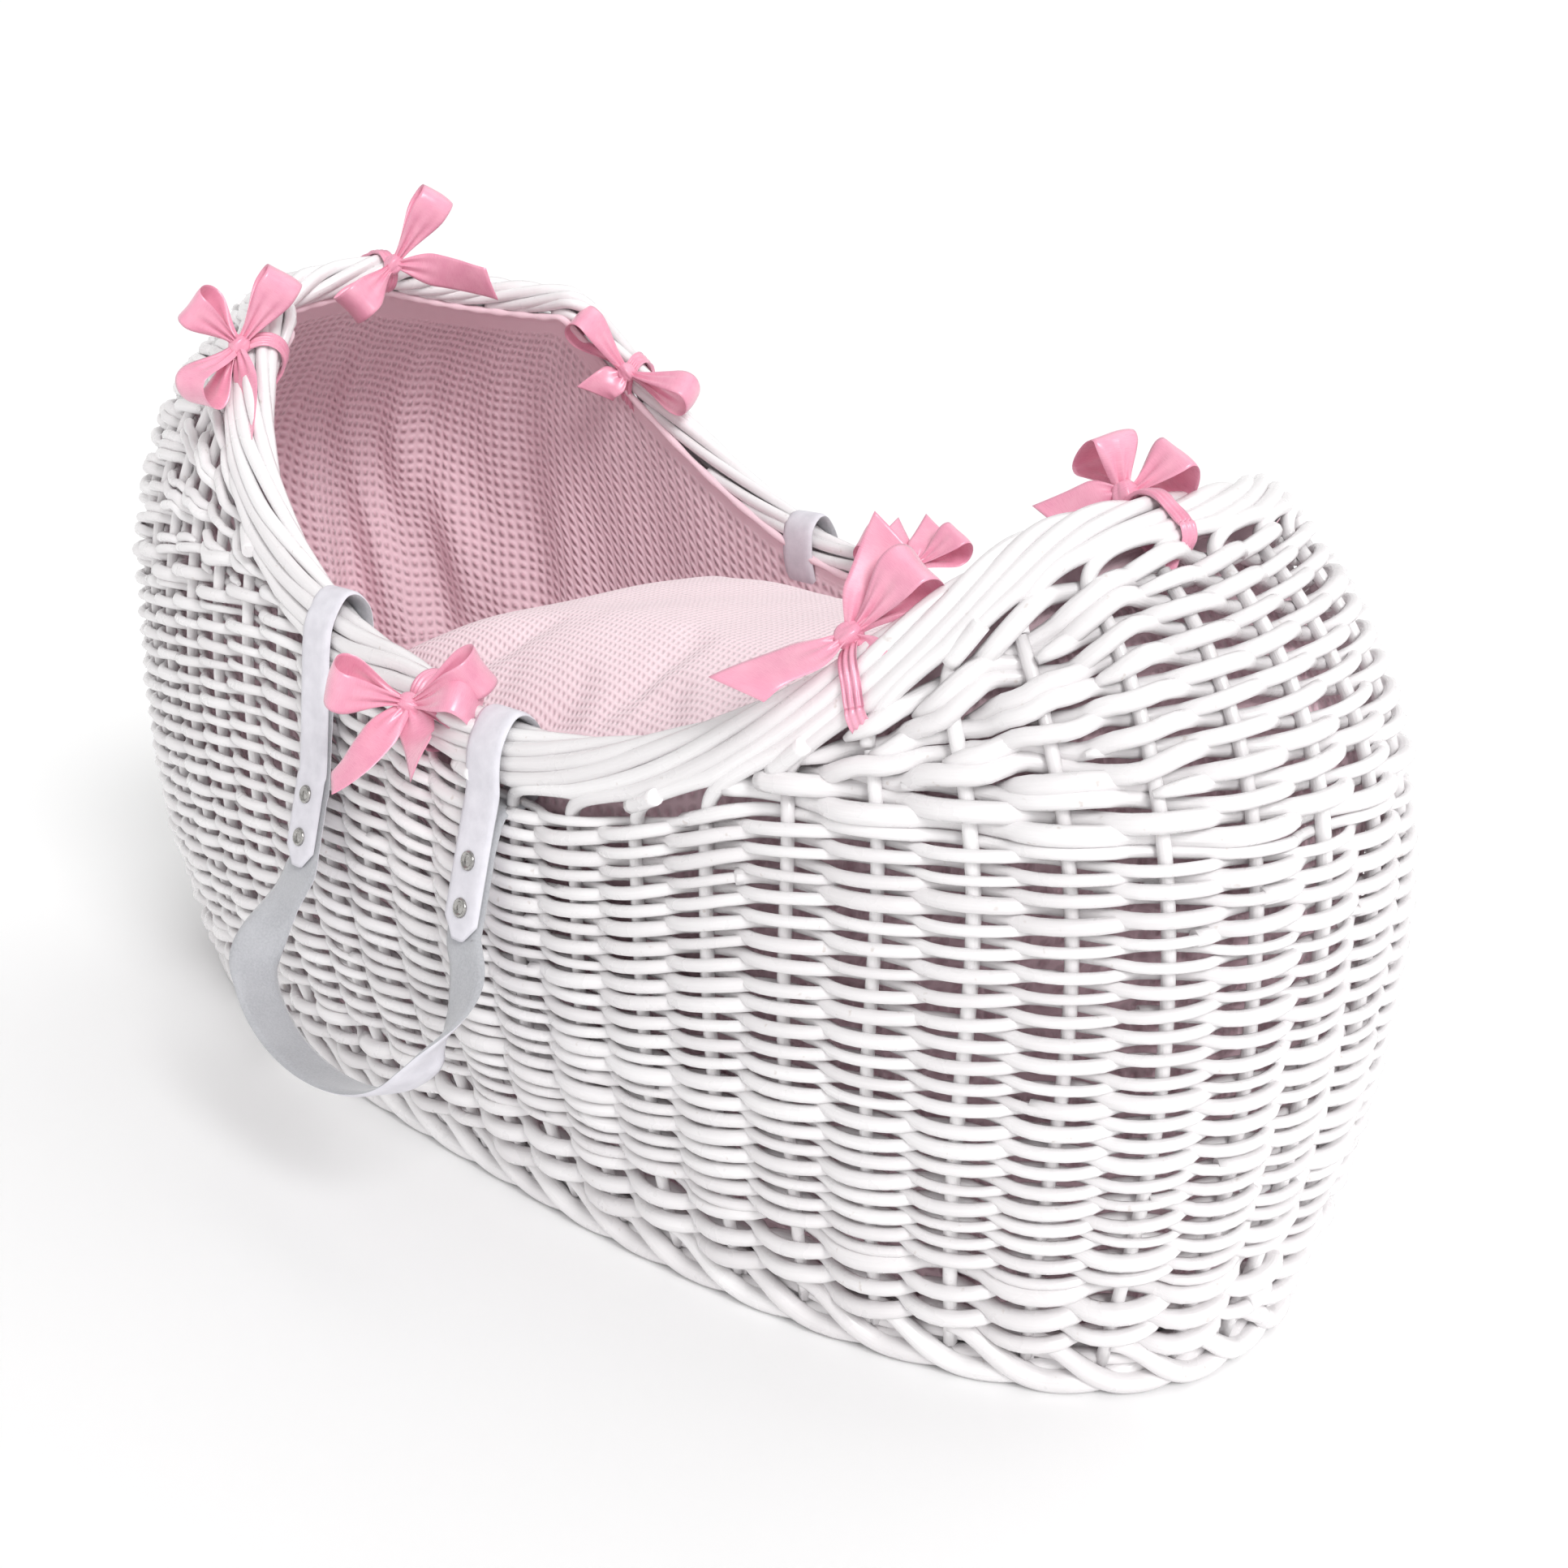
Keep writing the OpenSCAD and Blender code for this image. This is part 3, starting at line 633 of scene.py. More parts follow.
def packing(name, node, middle, reach):
    """Thick rows that fan out between the seam and the rim; rows end where there's no room for them."""
    u = np.linspace(middle - reach, middle + reach, 520)
    a = angle(u)
    base, top = seam(a) + 14, below_rim(a, BAND + 7)
    share = np.linspace(0, 1, 16)
    z = base[:, None] + (top - base)[:, None] * share
    p = skin(a[:, None], z)
    run = np.concatenate([np.zeros((len(u), 1)),
                          np.cumsum(np.linalg.norm(np.diff(p, axis=1), axis=2), 1)], 1)
    room = np.where(top > base, run[:, -1], 0)
    rows = int(room.max() / PACK_PITCH)
    order = np.array([(j * 0.618034 + 0.31) % 1 for j in range(rows)])
    rank = order.argsort().argsort() / rows
    weight = np.clip((room / room.max() - rank[:, None]) * rows / 1.6 + 0.2, 0, 1)
    total = np.maximum(weight.sum(0), 1e-6)
    place = (np.cumsum(weight, 0) - weight / 2) / total
    batch = Batch()
    for j in range(rows):
        live = np.flatnonzero(weight[j] > 0.1)
        if len(live) < 15:
            continue
        height = np.array([np.interp(f * r[-1], r, zs) for f, r, zs in zip(place[j], run, z)])
        woven_row(batch, j, lambda v: np.interp(v, u, height), PACK_R * rng.uniform(0.93, 1.06),
                  u[live[0]], u[live[-1]], slant=0.22, samples=8, sides=10, wander=0.7, low=6, high=11,
                  thin=lambda v: np.sqrt(np.interp(v, u, weight[j])))
    return rods(batch, name, node)


def seam_rods():
    """Two thick smooth rods along each seam."""
    pieces = []
    for name, node, middle, reach in (("foot_seam_rod", "foot_wale", 26, 11.5),
                                      ("head_seam_rod", "head_wale", STAKES, 12.0)):
        batch = Batch()
        for k, lift in ((0, 3.8), (1, 10.2)):
            u = np.linspace(middle - reach, middle + reach, 200)
            fits = below_rim(angle(u), BAND + 5) > seam(angle(u)) + lift
            woven_row(batch, k, lambda v: seam(angle(v)) + lift, WALE_R, u[fits][0], u[fits][-1],
                      slant=0.1, samples=8, sides=10)
        pieces.append(rods(batch, name, node))
    return pieces


BAND = 21.0
SECTION_TOP, SECTION_DEPTH, SECTION_R = 7.5, 8.2, 6.8


def over_top(c):
    """How far a place on the rim border has turned over its top, 0 to pi."""
    return np.clip((c - (BAND - SECTION_TOP)) / SECTION_R, 0, math.pi)


def on_border(c):
    """A place on the rim border: c runs in mm up its outside, over the top and down the inside."""
    out = BAND - SECTION_TOP
    w = over_top(c)
    past = np.maximum(0, c - out - math.pi * SECTION_R)
    dist = np.where(c < out, BAND - c, SECTION_TOP - SECTION_R * np.sin(w) + past)
    return dist, SECTION_DEPTH - SECTION_R * np.cos(w)


def off_border(c, lift):
    """A place held clear of the rim border, square to its surface."""
    dist, depth = on_border(c)
    return dist - lift * np.sin(over_top(c)), depth - lift * np.cos(over_top(c))


def rim_border():
    """Each stake turns over at the rim: it leans along it, climbs over the top and ends inside."""
    batch = Batch()
    rise, spans, end_c = 1.15, 5.6, 40.0
    for i in range(STAKES):
        s = np.linspace(0, 1, 16)[:-1]
        t = np.linspace(0, 1, 50)
        length = spans * rng.uniform(0.96, 1.05)
        u = i + 0.5 + np.concatenate([rise * s ** 2, rise + length * t])
        c = end_c * t + 0.9 * np.sin(8 * t + rng.uniform(0, 6)) * np.sin(np.pi * t)
        dist, depth = on_border(c)
        start = BAND + 15 * (1 - s * (2 - s))
        dist = np.concatenate([start, dist])
        depth = np.concatenate([depth[0] + (STAKE_DEPTH - depth[0]) * (1 - smooth(s / 0.7)), depth])
        r = np.concatenate([STAKE_R + 0.7 * s, 3.8 * (1.03 - 0.2 * t ** 2)]) * rng.uniform(0.92, 1.06)
        a = angle(u)
        z = below_rim(a, dist)
        batch.rod(a, z, depth, r, 10)
    return [rods(batch, "rim_border_rods", "rim_rod_1", "rim_rod_2", "rim_rod_3", "rim_rod_4")]


def cut_stubs():
    """Rod ends that stick out under the rim, where new rods were let in."""
    batch = Batch()
    for u in (3.4, 9.4, 14.6, 17.5, 19.4, 21.6, 30.5, 35.4, 41.5, 47.5):
        a = angle(u + np.linspace(0, 0.5, 8))
        z = below_rim(a, BAND + 6 - np.linspace(0, 3, 8))
        depth = np.linspace(3, -3.4, 8)
        batch.rod(a, z, depth, 3.7, 12)
    return [batch.make("rod_stubs", WOOD)]


def foot_border():
    """The stakes turned under at the bottom: each sweeps down and along past two others."""
    batch = Batch()
    for i in range(STAKES):
        t = np.linspace(0, 1, 44)
        u = i + 0.5 + 3.1 * t
        a = angle(u)
        drop = smooth(t / 0.42)
        z = 25 - 19.6 * drop + 4.5 * smooth((t - 0.62) / 0.38)
        depth = 6.5 - 5.5 * smooth(t / 0.3) + 11 * smooth((t - 0.45) / 0.55)
        r = 4.7 * (0.82 + 0.25 * smooth(t / 0.3)) * rng.uniform(0.93, 1.05)
        batch.rod(a, z, depth, r, 10)
    for turn in range(4):
        u = np.linspace(turn * 13, turn * 13 + 14, 150)
        a = angle(u)
        z = 13.5 + 1.2 * np.sin(u * 2.4)
        depth = 9.5 + 1.5 * np.cos(u * 1.7) + 3 * smooth(1 - (u - u[0])) + 3 * smooth(1 - (u[-1] - u))
        batch.rod(a, z, depth, 3.6, 8)
    return [rods(batch, "foot_border_rods", "foot_border")]


def base_rods():
    """The woven base: oval rows that pass over and under the cross sticks."""
    batch = Batch()
    stick_gap, wave = 79, 2.6
    for k in range(BASE_ROWS):
        u = np.linspace(0, STAKES + 0.6, 230)
        depth = 17 + BASE_PITCH * k
        x, y, z = skin(angle(u), np.full(len(u), BASE_Z)).T
        x = (x + MID_X) * (1 - depth / HALF_LEN) - MID_X
        y = y * (1 - depth / HALF_W)
        z = z + wave * np.cos(np.pi * x / stick_gap + np.pi * k)
        batch.tube(np.stack([x, y, z], 1), BASE_R, np.tile([0, 0, 1.0], (len(u), 1)), 8,
                   rng.uniform(0, 1))
    return [rods(batch, "base_weave_rods", "base_weave")]


willow = wall_rows() + lower_rows() + stake_rods() + seam_rods() + rim_border() + cut_stubs()
willow += foot_border() + base_rods()
willow.append(packing("foot_packing_rods", "foot_packing", 26, 12))
willow.append(packing("head_packing_rods", "head_packing", STAKES, 13))
for node in ("base_sticks", "base_cross_sticks"):
    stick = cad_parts[node]
    stick.data.materials.clear()
    stick.data.materials.append(WILLOW)

# ---- Lining ----

LINER_DEPTH, HEM_DROP, HEM_R = 18.6, 13.0, 2.3
LINER_FLOOR, LINER_SPLIT = 25, 190.0
# Each gather on the hood: where it lies round the head in degrees, its width and its depth in mm.
GATHERS = ((46, 6, 16), (26, 5, 24), (6, 5, 18), (-13, 4.5, 26), (-33, 6, 22), (-58, 8, 16))


def folds(a, share):
    """How far the lining hangs in from the wall: gathers that fan out from the top of the hood."""
    round_a = np.asarray(a) % 360
    hood = smooth((folded(a) - 95) / 30)
    fade = np.sin(np.pi * np.clip(share, 0, 1)) ** 0.7
    deep = 0
    for spread, width, amount in GATHERS:
        centre = 184 + spread * (0.35 + 0.95 * (1 - share))
        deep = deep + amount * np.exp(-((round_a - centre) / width) ** 2)
    small = 1.5 * np.sin(np.radians(a) * 21 + 3 * share) + 1.0 * np.sin(np.radians(a) * 37 - 2 * share)
    return fade * (hood * deep * (0.25 + 0.75 * share) + small * (0.5 + hood) + 2.0)


def lining_piece(name, node, first, last, z_of, columns, rows, hem=False):
    """A stretch of the lining between two angles; z_of gives the height at an angle and share."""
    a, share = np.meshgrid(np.linspace(first, last, columns), np.linspace(0, 1, rows), indexing="ij")
    z = z_of(a, share)
    full = (z - LINER_FLOOR) / (below_rim(a, HEM_DROP) - LINER_FLOOR)
    p = wall(a, z, LINER_DEPTH + folds(a, full) * (1 - 0.85 * smooth((full - 0.9) / 0.1)))
    turns = np.ceil((a - 180) / 360)
    x = np.interp(a - 360 * turns, GIRTH_ANGLES, GIRTH_RUN) + turns * GIRTH
    step = np.linalg.norm(np.diff(p, axis=1), axis=2)
    y = np.concatenate([np.zeros((columns, 1)), np.cumsum(step, 1)], 1) + 200
    y = y - y[:, -1:] if hem else y - y[:, :1]
    flat = 1 - smooth((full - 0.965) / 0.010) if hem else np.ones_like(full)
    batch = Batch()
    batch.grid(p[:, ::-1], np.stack([x, y], -1)[:, ::-1] * MM, flat[:, ::-1])
    piece = batch.make(name, (LINING,))
    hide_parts(node)


def lower_lining(a, share):
    return LINER_FLOOR + (LINER_SPLIT - LINER_FLOOR) * share + 0 * a


def upper_lining(a, share):
    return LINER_SPLIT + (below_rim(a, HEM_DROP) - LINER_SPLIT) * share


def lining():
    """The lining's head, foot and lower wall, its rolled hem and the cloth on the base."""
    lining_piece("liner_head_cloth", "liner_head", 88, 272, upper_lining, 560, 96, True)
    lining_piece("liner_foot_cloth", "liner_foot", -88, 88, upper_lining, 420, 60, True)
    lining_piece("liner_wall_cloth", "liner_wall", -180, 180, lower_lining, 900, 70)
    u = np.linspace(0, STAKES, 500)
    a = angle(u)
    batch = Batch()
    rim = wall(a, below_rim(a, HEM_DROP - 1.0) + 0 * a, np.full(len(a), LINER_DEPTH + 0.4))
    batch.tube(rim, HEM_R + 0.35 * np.sin(u * 9), outward(a, rim_z(a)), 10, 0.0, ends=False)
    hem = batch.make("liner_hem_roll", (LINING,))
    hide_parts("liner_hem")
    floor = Batch()
    columns, rings = 241, 24
    a, s = np.meshgrid(np.linspace(-180, 180, columns), np.linspace(1, 0.02, rings), indexing="ij")
    edge = wall(a, np.full(a.shape, float(LINER_FLOOR)), LINER_DEPTH)
    p = np.stack([(edge[..., 0] + MID_X) * s - MID_X, edge[..., 1] * s, LINER_FLOOR + 0 * s], -1)
    floor.grid(p[:, ::-1], p[:, ::-1, :2] * MM, 1.0)
    base = floor.make("liner_base_cloth", (LINING,))
    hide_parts("liner_base")


lining()

# ---- Mattress and coverlet ----


VOXEL, PUFF_FRAMES = 0.006, 20


def apply_all(obj):
    """Bakes an object's modifiers into its mesh."""
    deps = bpy.context.evaluated_depsgraph_get()
    me = bpy.data.meshes.new_from_object(obj.evaluated_get(deps))
    obj.modifiers.clear()
    obj.data = me


def coords(obj):
    co = np.empty(len(obj.data.vertices) * 3, np.float32)
    obj.data.vertices.foreach_get("co", co)
    return co.reshape(-1, 3).copy()


def set_coords(obj, co):
    obj.data.vertices.foreach_set("co", np.asarray(co, np.float32).ravel())
    obj.data.update()


def round_shading(obj):
    obj.data.polygons.foreach_set("use_smooth", np.ones(len(obj.data.polygons), bool))


def puffed(name, node, mat, body, shrink, pressure, cap):
    """A padded piece: the CAD solid drawn in a little, remeshed and blown up as cloth."""
    obj = bpy.data.objects.new(name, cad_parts[node].data.copy())
    show(obj)
    co = coords(obj)
    low, high = co.min(0), co.max(0)
    middle = (low + high) / 2
    scale = 1 - 2 * np.array(shrink) * MM / (high - low)
    set_coords(obj, middle + (co - middle) * scale)
    bpy.context.view_layer.objects.active = obj
    remesh = obj.modifiers.new("remesh", "REMESH")
    remesh.mode = "VOXEL"
    remesh.voxel_size = VOXEL
    soften = obj.modifiers.new("soften", "SMOOTH")
    soften.factor = 0.5
    soften.iterations = 12
    apply_all(obj)
    before = coords(obj)
    cloth = obj.modifiers.new("cloth", "CLOTH")
    settings = cloth.settings
    settings.use_pressure = True
    settings.uniform_pressure_force = pressure
    settings.effector_weights.gravity = 0
    settings.quality = 5
    settings.tension_stiffness = settings.compression_stiffness = 12
    settings.mass = 0.25
    for f in range(1, PUFF_FRAMES + 1):
        bpy.context.scene.frame_set(f)
    apply_all(obj)
    bpy.context.scene.frame_set(1)
    after = coords(obj)
    move = after - before
    far = np.linalg.norm(move, axis=1, keepdims=True)
    after = before + move * np.minimum(1, cap * MM / np.maximum(far, 1e-9))
    set_coords(obj, after)
    sub = obj.modifiers.new("sub", "SUBSURF")
    sub.levels = sub.render_levels = 1
    apply_all(obj)
    obj.data.materials.clear()
    obj.data.materials.append(mat)
    round_shading(obj)
    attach(obj, body)
    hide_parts(node)
    return obj


def cloth_uv(obj):
    """Lays the cloth's pattern on a padded piece from above, in metres."""
    co = coords(obj)
    layer = obj.data.uv_layers.new(name="UVMap")
    index = np.empty(len(obj.data.loops), np.int32)
    obj.data.loops.foreach_get("vertex_index", index)
    low = co[:, 2].min()
    mid = co[:, :2].mean(0)
    out = co[:, :2] - mid
    flat = out * (1 + 0.9 * (co[:, 2:3].max() - co[:, 2:3]))
    layer.data.foreach_set("uv", (flat + low)[index].ravel().astype(np.float32))
    tone = obj.data.attributes.new("tone", "FLOAT", "POINT")
    tone.data.foreach_set("value", np.ones(len(co), np.float32))


def ripple(obj, size, amount):
    """Soft unevenness of a filled cloth, pushed along the normals."""
    co = coords(obj)
    no = np.empty(len(co) * 3, np.float32)
    obj.data.vertices.foreach_get("normal", no)
    x, y, z = (co / (size * MM)).T
    wave = np.sin(x + 1.3 * np.sin(0.7 * y)) + np.sin(1.2 * y + 1.1 * np.sin(0.9 * x + 2)) \
        + 0.7 * np.sin(1.7 * x - 1.3 * y + 1.5 * z)
    set_coords(obj, co + no.reshape(-1, 3) * (wave * amount * MM / 2)[:, None])


coverlet = puffed("coverlet_quilt", "coverlet", COVER, "coverlet", (10, 9, 6), 4.0, 12)
ripple(coverlet, 21, 1.4)
cloth_uv(coverlet)
mattress = puffed("mattress_pad", "mattress", TICKING, "mattress", (6, 6, 3), 2.0, 6)
ripple(mattress, 16, 0.5)

# ---- Handles ----

TURN_Y, TURN_Z, LEAN = 188.0, 221.565, 15.0
STRAP_W, STRAP_T = 25.0, 3.0
HANDLE_X, SPAN, BULGE, LOW, TAIL = 23.0, 138.0, 70.0, 80.0, 54.0
LEGS = {"left": (HANDLE_X - SPAN / 2, 93.0), "right": (HANDLE_X + SPAN / 2, 81.5)}
RIVET_DROPS = (-39.0, -17.0)
# Half a rivet cap in section, from its rim to its middle: radius and height.
RIVET_CAP = [(4.6, -0.2), (4.75, 0.4), (4.5, 1.1), (3.9, 1.5), (3.2, 1.3), (2.9, 0.5),
             (2.6, 0.35), (1.6, 0.7), (0.05, 0.9)]
END_TAPER, TAPER_RUN = 8.5, 9


def leaning(p, pivot=(0, TURN_Y, TURN_Z)):
    """Turns far-side points out from the wall about the strap's turn."""
    x, y, z = np.moveaxis(np.asarray(p, float) - pivot, -1, 0)
    c, s = math.cos(math.radians(LEAN)), math.sin(math.radians(LEAN))
    return np.stack([x, y * c - z * s, y * s + z * c], -1) + pivot


def round_rim(end):
    """Far-side path of a strap end: tail up, over the rim, down inside and out through the wall."""
    x, a = LEGS[end]
    off = 3.2

    def at(dist, depth):
        p = wall(np.array([a]), below_rim(np.array([a]), dist), np.array([depth]))[0]
        return [x, p[1], p[2]]

    outer = TURN_Y + 1.6
    tail = leaning([[x, outer, TURN_Z - TAIL + i * TAIL / 6] for i in range(7)]).tolist()
    inner = 2 * SECTION_DEPTH + 1.8
    lift = [at(30, -off - 1.5), at(20, -off - 1.5), at(10, -off - 0.8), at(1, -off + 2.5)]
    over = [at(-5.5, 4), at(-6, 10.5), at(0, inner - 0.8), at(12, inner + 1.8), at(24, inner + 1.6)]
    back = [at(33, inner - 1.5), at(37.5, 8), at(39.5, -1)]
    return np.array(tail + lift + over + back)


def hanging():
    """The hanging strap's path on the far side, from one turn to the other, and its width."""
    low_z = TURN_Z - TAIL
    depth = (low_z - LOW) * 4 / 3
    inner_y = TURN_Y - STRAP_T / 2 - 0.1
    outer_y = TURN_Y + STRAP_W / 2 + 1
    t = np.linspace(0, 1, 61)
    ends = -SPAN / 2, -SPAN / 2 - BULGE
    x = HANDLE_X + ((1 - t) ** 3 * ends[0] + 3 * t * (1 - t) ** 2 * ends[1]
                    - 3 * t * t * (1 - t) * ends[1] - t ** 3 * ends[0])
    past = np.maximum(0, np.minimum(t, 1 - t) - 0.03)
    y = inner_y + (outer_y - inner_y) * smooth(past / 0.17)
    z = low_z - 3 * t * (1 - t) * depth
    turn = np.radians(90 * smooth(past / 0.21))
    curve = np.stack([x, y, z], 1)
    wide = np.stack([np.where(t < 0.5, 1, -1) * np.cos(turn), -np.sin(turn), 0 * t], 1)
    drop = np.linspace(0, 1, 7)[:-1, None]
    left = np.array([[LEGS["left"][0], inner_y, TURN_Z]]) - drop * [[0, 0, TAIL]]
    right = (np.array([[LEGS["right"][0], inner_y, TURN_Z]]) - drop * [[0, 0, TAIL]])[::-1]
    path = np.concatenate([left, curve, right])
    one, two = np.tile([1.0, 0, 0], (len(left), 1)), np.tile([-1.0, 0, 0], (len(right), 1))
    return leaning(path), leaning(np.concatenate([one, wide, two]), (0, 0, 0))


def lathe(batch, centre, axis, profile, sides=20, tone=0.5):
    """A turned piece: profile is (radius, height) from the rim to the middle."""
    axis = unit(np.asarray(axis, float))
    side = unit(np.cross(axis, [0, 0, 1.0]))
    other = np.cross(axis, side)
    w = np.linspace(0, 2 * np.pi, sides, endpoint=False)
    r, h = np.array(profile).T
    ring = centre + r[:, None, None] * (np.cos(w)[None, :, None] * side + np.sin(w)[None, :, None] * other) \
        + h[:, None, None] * axis
    uv = np.zeros((len(r), sides + 1, 2))
    batch.grid(ring, uv, tone, closed=True)


def handles():
    """Both handles: one strap each, from tail to tail, with two pairs of rivets."""
    for side, s in (("near", -1), ("far", 1)):
        mirror = np.array([1, s, 1])
        hang, wide = hanging()
        left, right = round_rim("left"), round_rim("right")
        path = np.concatenate([left, hang[1:-1], right[::-1]])
        widths = np.concatenate([np.tile([1.0, 0, 0], (len(left), 1)), wide[1:-1],
                                 np.tile([-1.0, 0, 0], (len(right), 1))])
        steps = len(path) * 5
        path, widths = curve_through(path, steps) * mirror, curve_through(widths, steps) * mirror
        half = np.full(steps, STRAP_W / 2)
        run = run_along(path)
        for from_end in (run, run[-1] - run):
            half = half - END_TAPER * (1 - np.clip(from_end / TAPER_RUN, 0, 1))
        batch = Batch()
        mats = (0, 1) if s > 0 else (1, 0)
        batch.slab(path, unit(widths), half, STRAP_T, across=9, mats=mats)
        strap = batch.make(side + "_handle_strap", (LEATHER, SUEDE), None)
        round_shading(strap)
        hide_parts(side + "_strap", side + "_left_tail", side + "_right_tail",
                    side + "_left_rim_loop", side + "_right_rim_loop")
        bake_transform(strap)
        for end in ("left", "right"):
            batch = Batch()
            for drop in RIVET_DROPS:
                place = leaning([LEGS[end][0], TURN_Y + 3.0, TURN_Z + drop]) * mirror
                axis = leaning([0, 1, 0], (0, 0, 0)) * mirror
                lathe(batch, place, axis, RIVET_CAP)
            caps = batch.make(f"{side}_{end}_rivet_caps", (NICKEL,), side + "_handle")
            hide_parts(f"{side}_{end}_rivets")


handles()

# ---- Bows ----

RIBBON, RIBBON_T, RIBBON_COLS = 20.0, 0.6, 13
KNOT_RIBBON = 95
KNOT_LIFT, BAND_LIFT = 8.5, 4.9
PICTURE_RIGHT = np.array([0.709, 0.705, 0.0])
TOWARD = np.array([0.672, -0.676, 0.303])
PICTURE_UP = np.cross(PICTURE_RIGHT, -TOWARD)
# Each bow: its angle, where its knot sits on the border, its loops and its tails. A loop or tail is a
# heading in degrees, where 0 points to the foot and 90 up, a length in mm, a lean out of that plane and
# a roll in degrees about the heading.
BOWS = {
    "head_top_bow": (180, 24, [(56, 50, 0.1, 25), (236, 44, 0.5, -30)], [(-8, 62, 0.1, 20)]),
    "near_hood_bow": (-115, 14, [(55, 46, 0.1, 30), (135, 33, 0.3, -20), (238, 40, 0.4, 25)],
                      [(-80, 56, 0.2, 35)]),
    "far_hood_bow": (110, 30, [(134, 46, 0.2, 30), (-24, 48, 0.2, -35)], [(214, 24, 0.1, 0)]),
    "near_waist_bow": (-86.9, 12, [(162, 38, 0.3, -25), (24, 42, 0.3, 30), (-2, 36, 0.5, -30)],
                       [(227, 50, 0.3, 40), (-72, 30, 0.4, 10)]),
    "far_waist_bow": (87, 24, [(150, 36, -0.2, 20), (30, 36, -0.2, -30)],
                      [(60, 36, -0.4, 0), (120, 30, -0.4, 20)]),
    "near_foot_bow": (-51, 22, [(42, 40, 0.2, -25)], [(205, 50, 0.3, 30), (66, 44, 0.1, 15),
                                                      (-56, 26, 0.3, 20)]),
    "far_foot_bow": (51, 24, [(150, 36, -0.5, 20), (20, 36, -0.4, -20)],
                     [(-30, 38, -0.5, 0), (60, 28, -0.4, 20)]),
    "foot_top_bow": (-8, 24, [(112, 25, -0.3, 20), (28, 28, -0.2, -35)],
                     [(197, 30, -0.1, 20), (-52, 34, 0.5, 15)]),
}


def bow_axes(degrees, lean, roll):
    """The heading of a loop or tail, the way its face looks, and its width."""
    w, q = math.radians(degrees), math.radians(roll)
    heading = unit(math.cos(w) * PICTURE_RIGHT + math.sin(w) * PICTURE_UP + lean * TOWARD)
    face = unit(TOWARD - np.dot(TOWARD, heading) * heading)
    wide = np.cross(heading, face)
    return heading, math.cos(q) * face + math.sin(q) * wide, math.cos(q) * wide - math.sin(q) * face


def pinched(t, reach):
    """Half the ribbon's width, drawn in tight at the knot."""
    return (RIBBON / 2) * (0.2 + 0.8 * smooth(t / reach) ** 0.7)


def creases(spread, wave):
    """How the ribbon crumples across its width: hard at the knot, softly where it's spread."""
    s = np.linspace(-1, 1, RIBBON_COLS)
    tight = (1 - np.asarray(spread))[:, None] * (1.5 * np.cos(s * 8 + wave)[None])
    return tight + 0.7 * np.cos(s * 2.0 + wave)[None]


def loop_strip(batch, knot, heading, face, wide, length):
    """A loop of a bow: out along its heading, round and back, pinched at the knot."""
    t = np.linspace(0, 1, 40)
    x = length * np.sin(np.pi * t) ** 0.8
    y = 12.0 * np.sin(2 * np.pi * t) * np.sin(np.pi * t) ** 0.5
    sway = rng.uniform(-5, 5) * np.sin(np.pi * t) ** 2 * np.sign(t - 0.5) * np.abs(t - 0.5)
    path = knot + x[:, None] * heading + y[:, None] * face + sway[:, None] * wide
    end = np.minimum(t, 1 - t)
    wides = wide[None] + (0.35 * (t - 0.5))[:, None] * face[None]
    batch.slab(path, wides, pinched(end, 0.26), RIBBON_T, rng.uniform(0, 1), across=RIBBON_COLS,
               curl=creases(smooth(end / 0.3), rng.uniform(0, 3)))


def tail_strip(batch, knot, heading, face, wide, length):
    """A free end of a bow: it widens, waves a little and ends in a slanting cut."""
    steps = 28
    t = np.linspace(0, 1, steps)
    wave = rng.uniform(0, 6)
    path = knot + (length * t)[:, None] * heading + (3.0 * np.sin(4.5 * t + wave) * t)[:, None] * face
    path[:, 2] -= 0.0014 * (length * t) ** 2 * (1 - abs(heading[2]))
    twist = 0.55 * np.sin(2.2 * t + wave) * t
    batch.slab(path, wide[None] + twist[:, None] * face[None], pinched(t, 0.42), RIBBON_T,
               rng.uniform(0, 1), across=RIBBON_COLS, curl=creases(smooth(t / 0.5), wave))
    slant = rng.uniform(0.35, 0.6) * (1 if rng.random() < 0.5 else -1)
    p = batch.points[-1].reshape(steps, 2 * RIBBON_COLS, 3)
    s = np.linspace(-1, 1, RIBBON_COLS)
    over = np.concatenate([s, s[::-1]])[::-1][None]
    pull = slant * over * (RIBBON / 2) * smooth((t - 0.6) / 0.4)[:, None]
    batch.points[-1] = (p + pull[..., None] * heading).reshape(-1, 3)


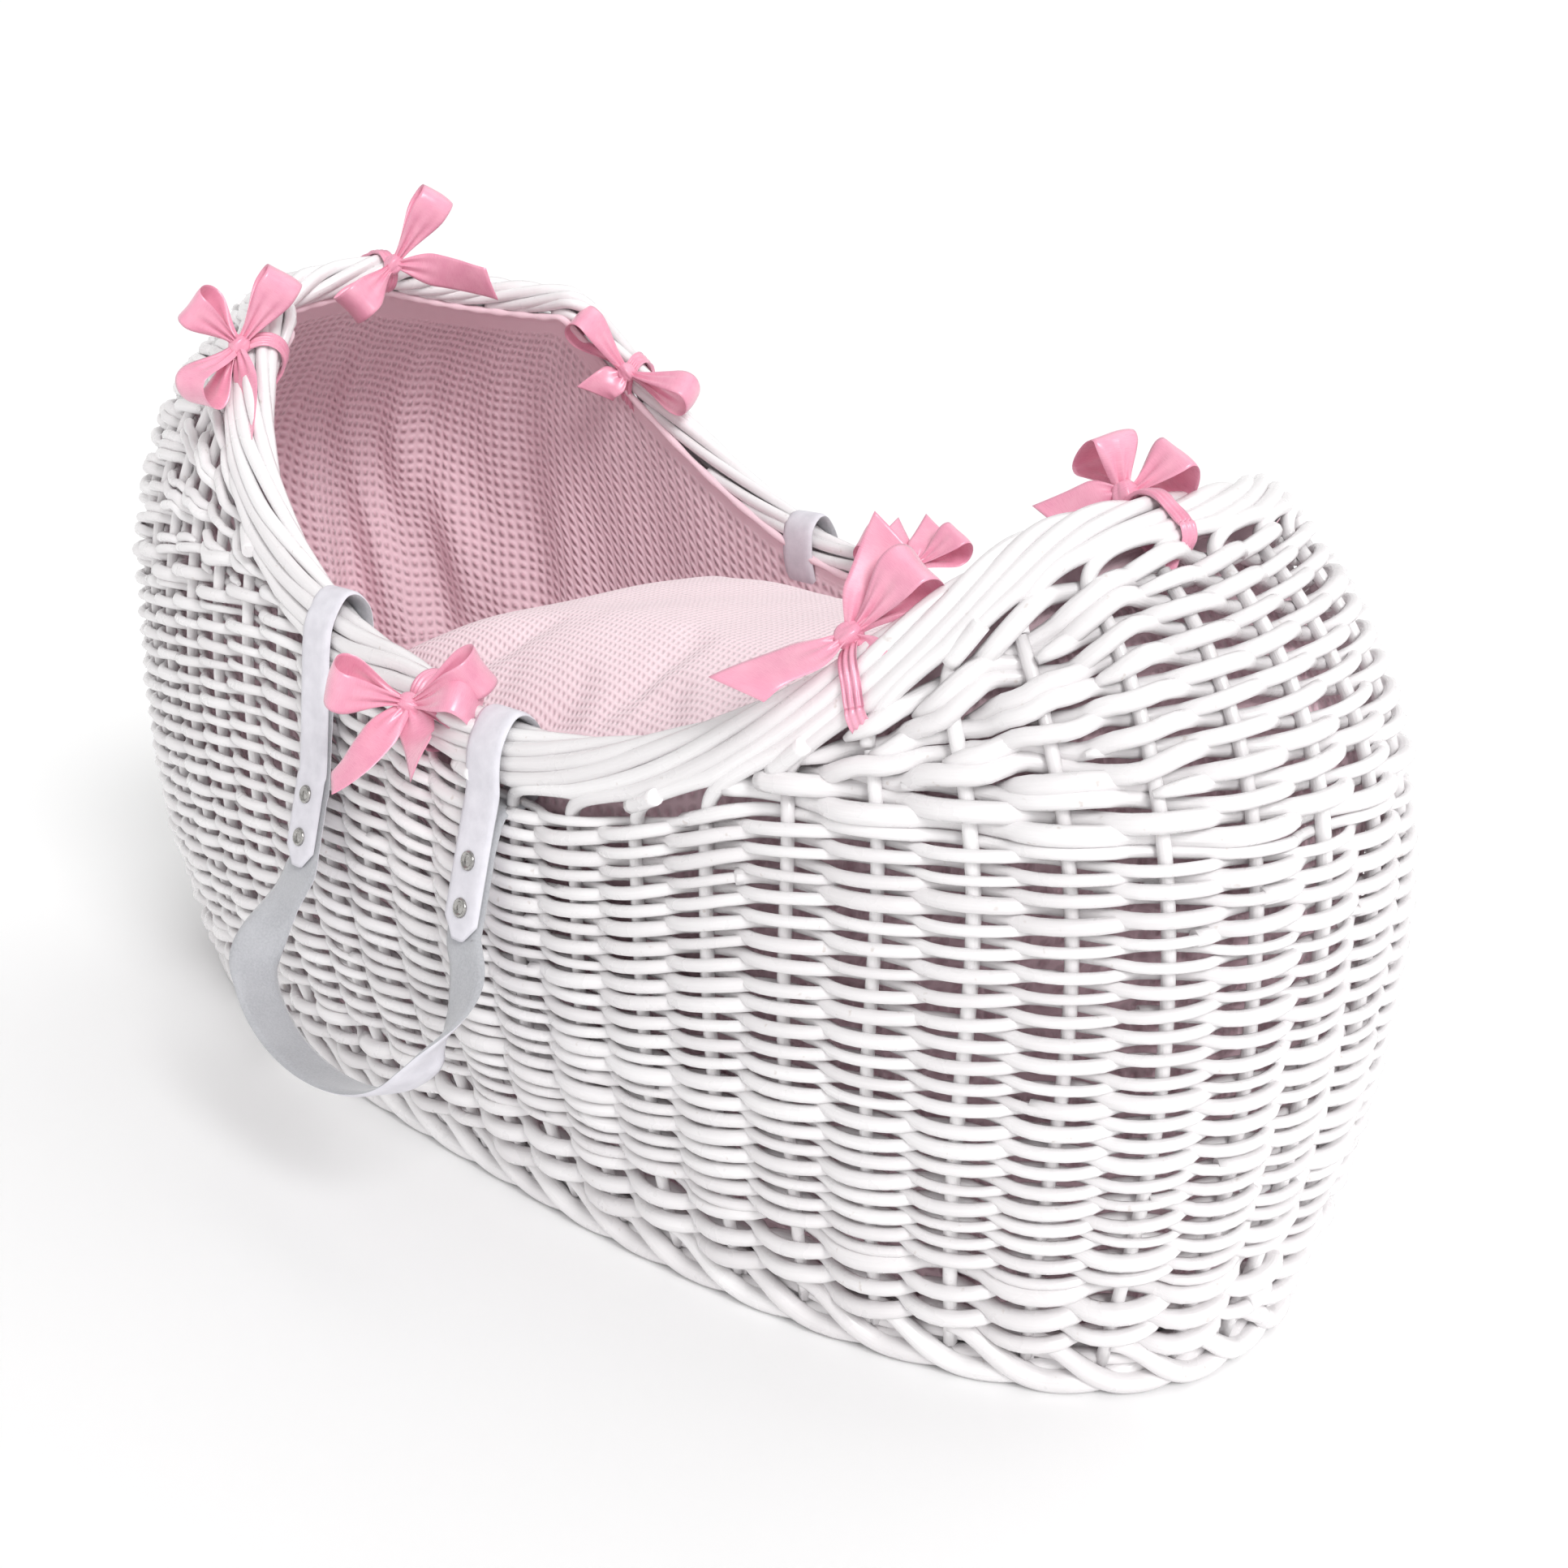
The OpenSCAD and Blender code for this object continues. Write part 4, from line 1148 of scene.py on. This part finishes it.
def rim_band(batch, a0):
    """The ribbon drawn round the rim border under a knot, as a closed loop."""
    dist, depth = off_border(np.linspace(0, 42, 22), BAND_LIFT)
    dist = np.concatenate([dist, [dist[-1] + 5, BAND + 8, BAND + 8, BAND + 3]])
    depth = np.concatenate([depth, [depth[-1] - 1, 12, 1, depth[0]]])
    a = np.full(len(dist), float(a0))
    path = wall(a, below_rim(a, dist), depth)
    steps = 80
    path = curve_through(np.concatenate([path, path[:1]]), steps)
    rim = unit(skin(a0 + 1, rim_z(a0 + 1)) - skin(a0 - 1, rim_z(a0 - 1)))
    s = np.linspace(-1, 1, RIBBON_COLS)
    gather = 0.8 * np.cos(s * 9)[None] * (1 + 0.3 * np.sin(np.linspace(0, 25, steps)))[:, None]
    batch.slab(path, np.tile(rim, (steps, 1)), 4.2, RIBBON_T, 0.5, across=RIBBON_COLS, curl=gather)


def knot_lump(batch, centre, heading):
    """The knot: a small pulled-tight wrap with creases that run over it."""
    side = unit(heading - np.dot(heading, TOWARD) * TOWARD)
    up = np.cross(TOWARD, side)
    u = np.linspace(0.05, np.pi - 0.05, 18)
    v = np.linspace(0, 2 * np.pi, 30, endpoint=False)
    r = 1 + 0.16 * np.cos(4 * v)[None] * np.sin(u)[:, None] + 0.07 * np.cos(9 * v + 3 * u[:, None])
    p = centre + (5.4 * np.cos(u) * (1 + 0.12 * np.sin(3 * u)))[:, None, None] * side \
        + (r * np.sin(u)[:, None] ** 0.7)[..., None] * (4.9 * np.cos(v)[None, :, None] * up
                                                        + 4.3 * np.sin(v)[None, :, None] * TOWARD)
    uv = np.stack(np.broadcast_arrays(np.linspace(0, 0.02, 31)[None], np.linspace(0, 0.014, 18)[:, None]), -1)
    batch.grid(p, uv, 0.5, closed=True)


def bows():
    """Each bow is one ribbon: its loops, tails and knot, and the band round the rim."""
    for node, (a0, c0, loops, tails) in BOWS.items():
        dist, depth = off_border(np.array([float(c0)]), KNOT_LIFT)
        a = np.array([float(a0)])
        spot = wall(a, below_rim(a, dist), depth)[0]
        batch = Batch()
        total = KNOT_RIBBON
        for degrees, length, lean, roll in loops:
            loop_strip(batch, spot, *bow_axes(degrees, lean, roll), length)
            total += 2 * length
        for degrees, length, lean, roll in tails:
            tail_strip(batch, spot, *bow_axes(degrees, lean, roll), length)
            total += length
        knot_lump(batch, spot, bow_axes(loops[0][0], 0, 0)[0])
        rim_band(batch, a0)
        piece = batch.make(node + "_ribbon", (SATIN,))
        round_shading(piece)
        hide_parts(node)


bows()
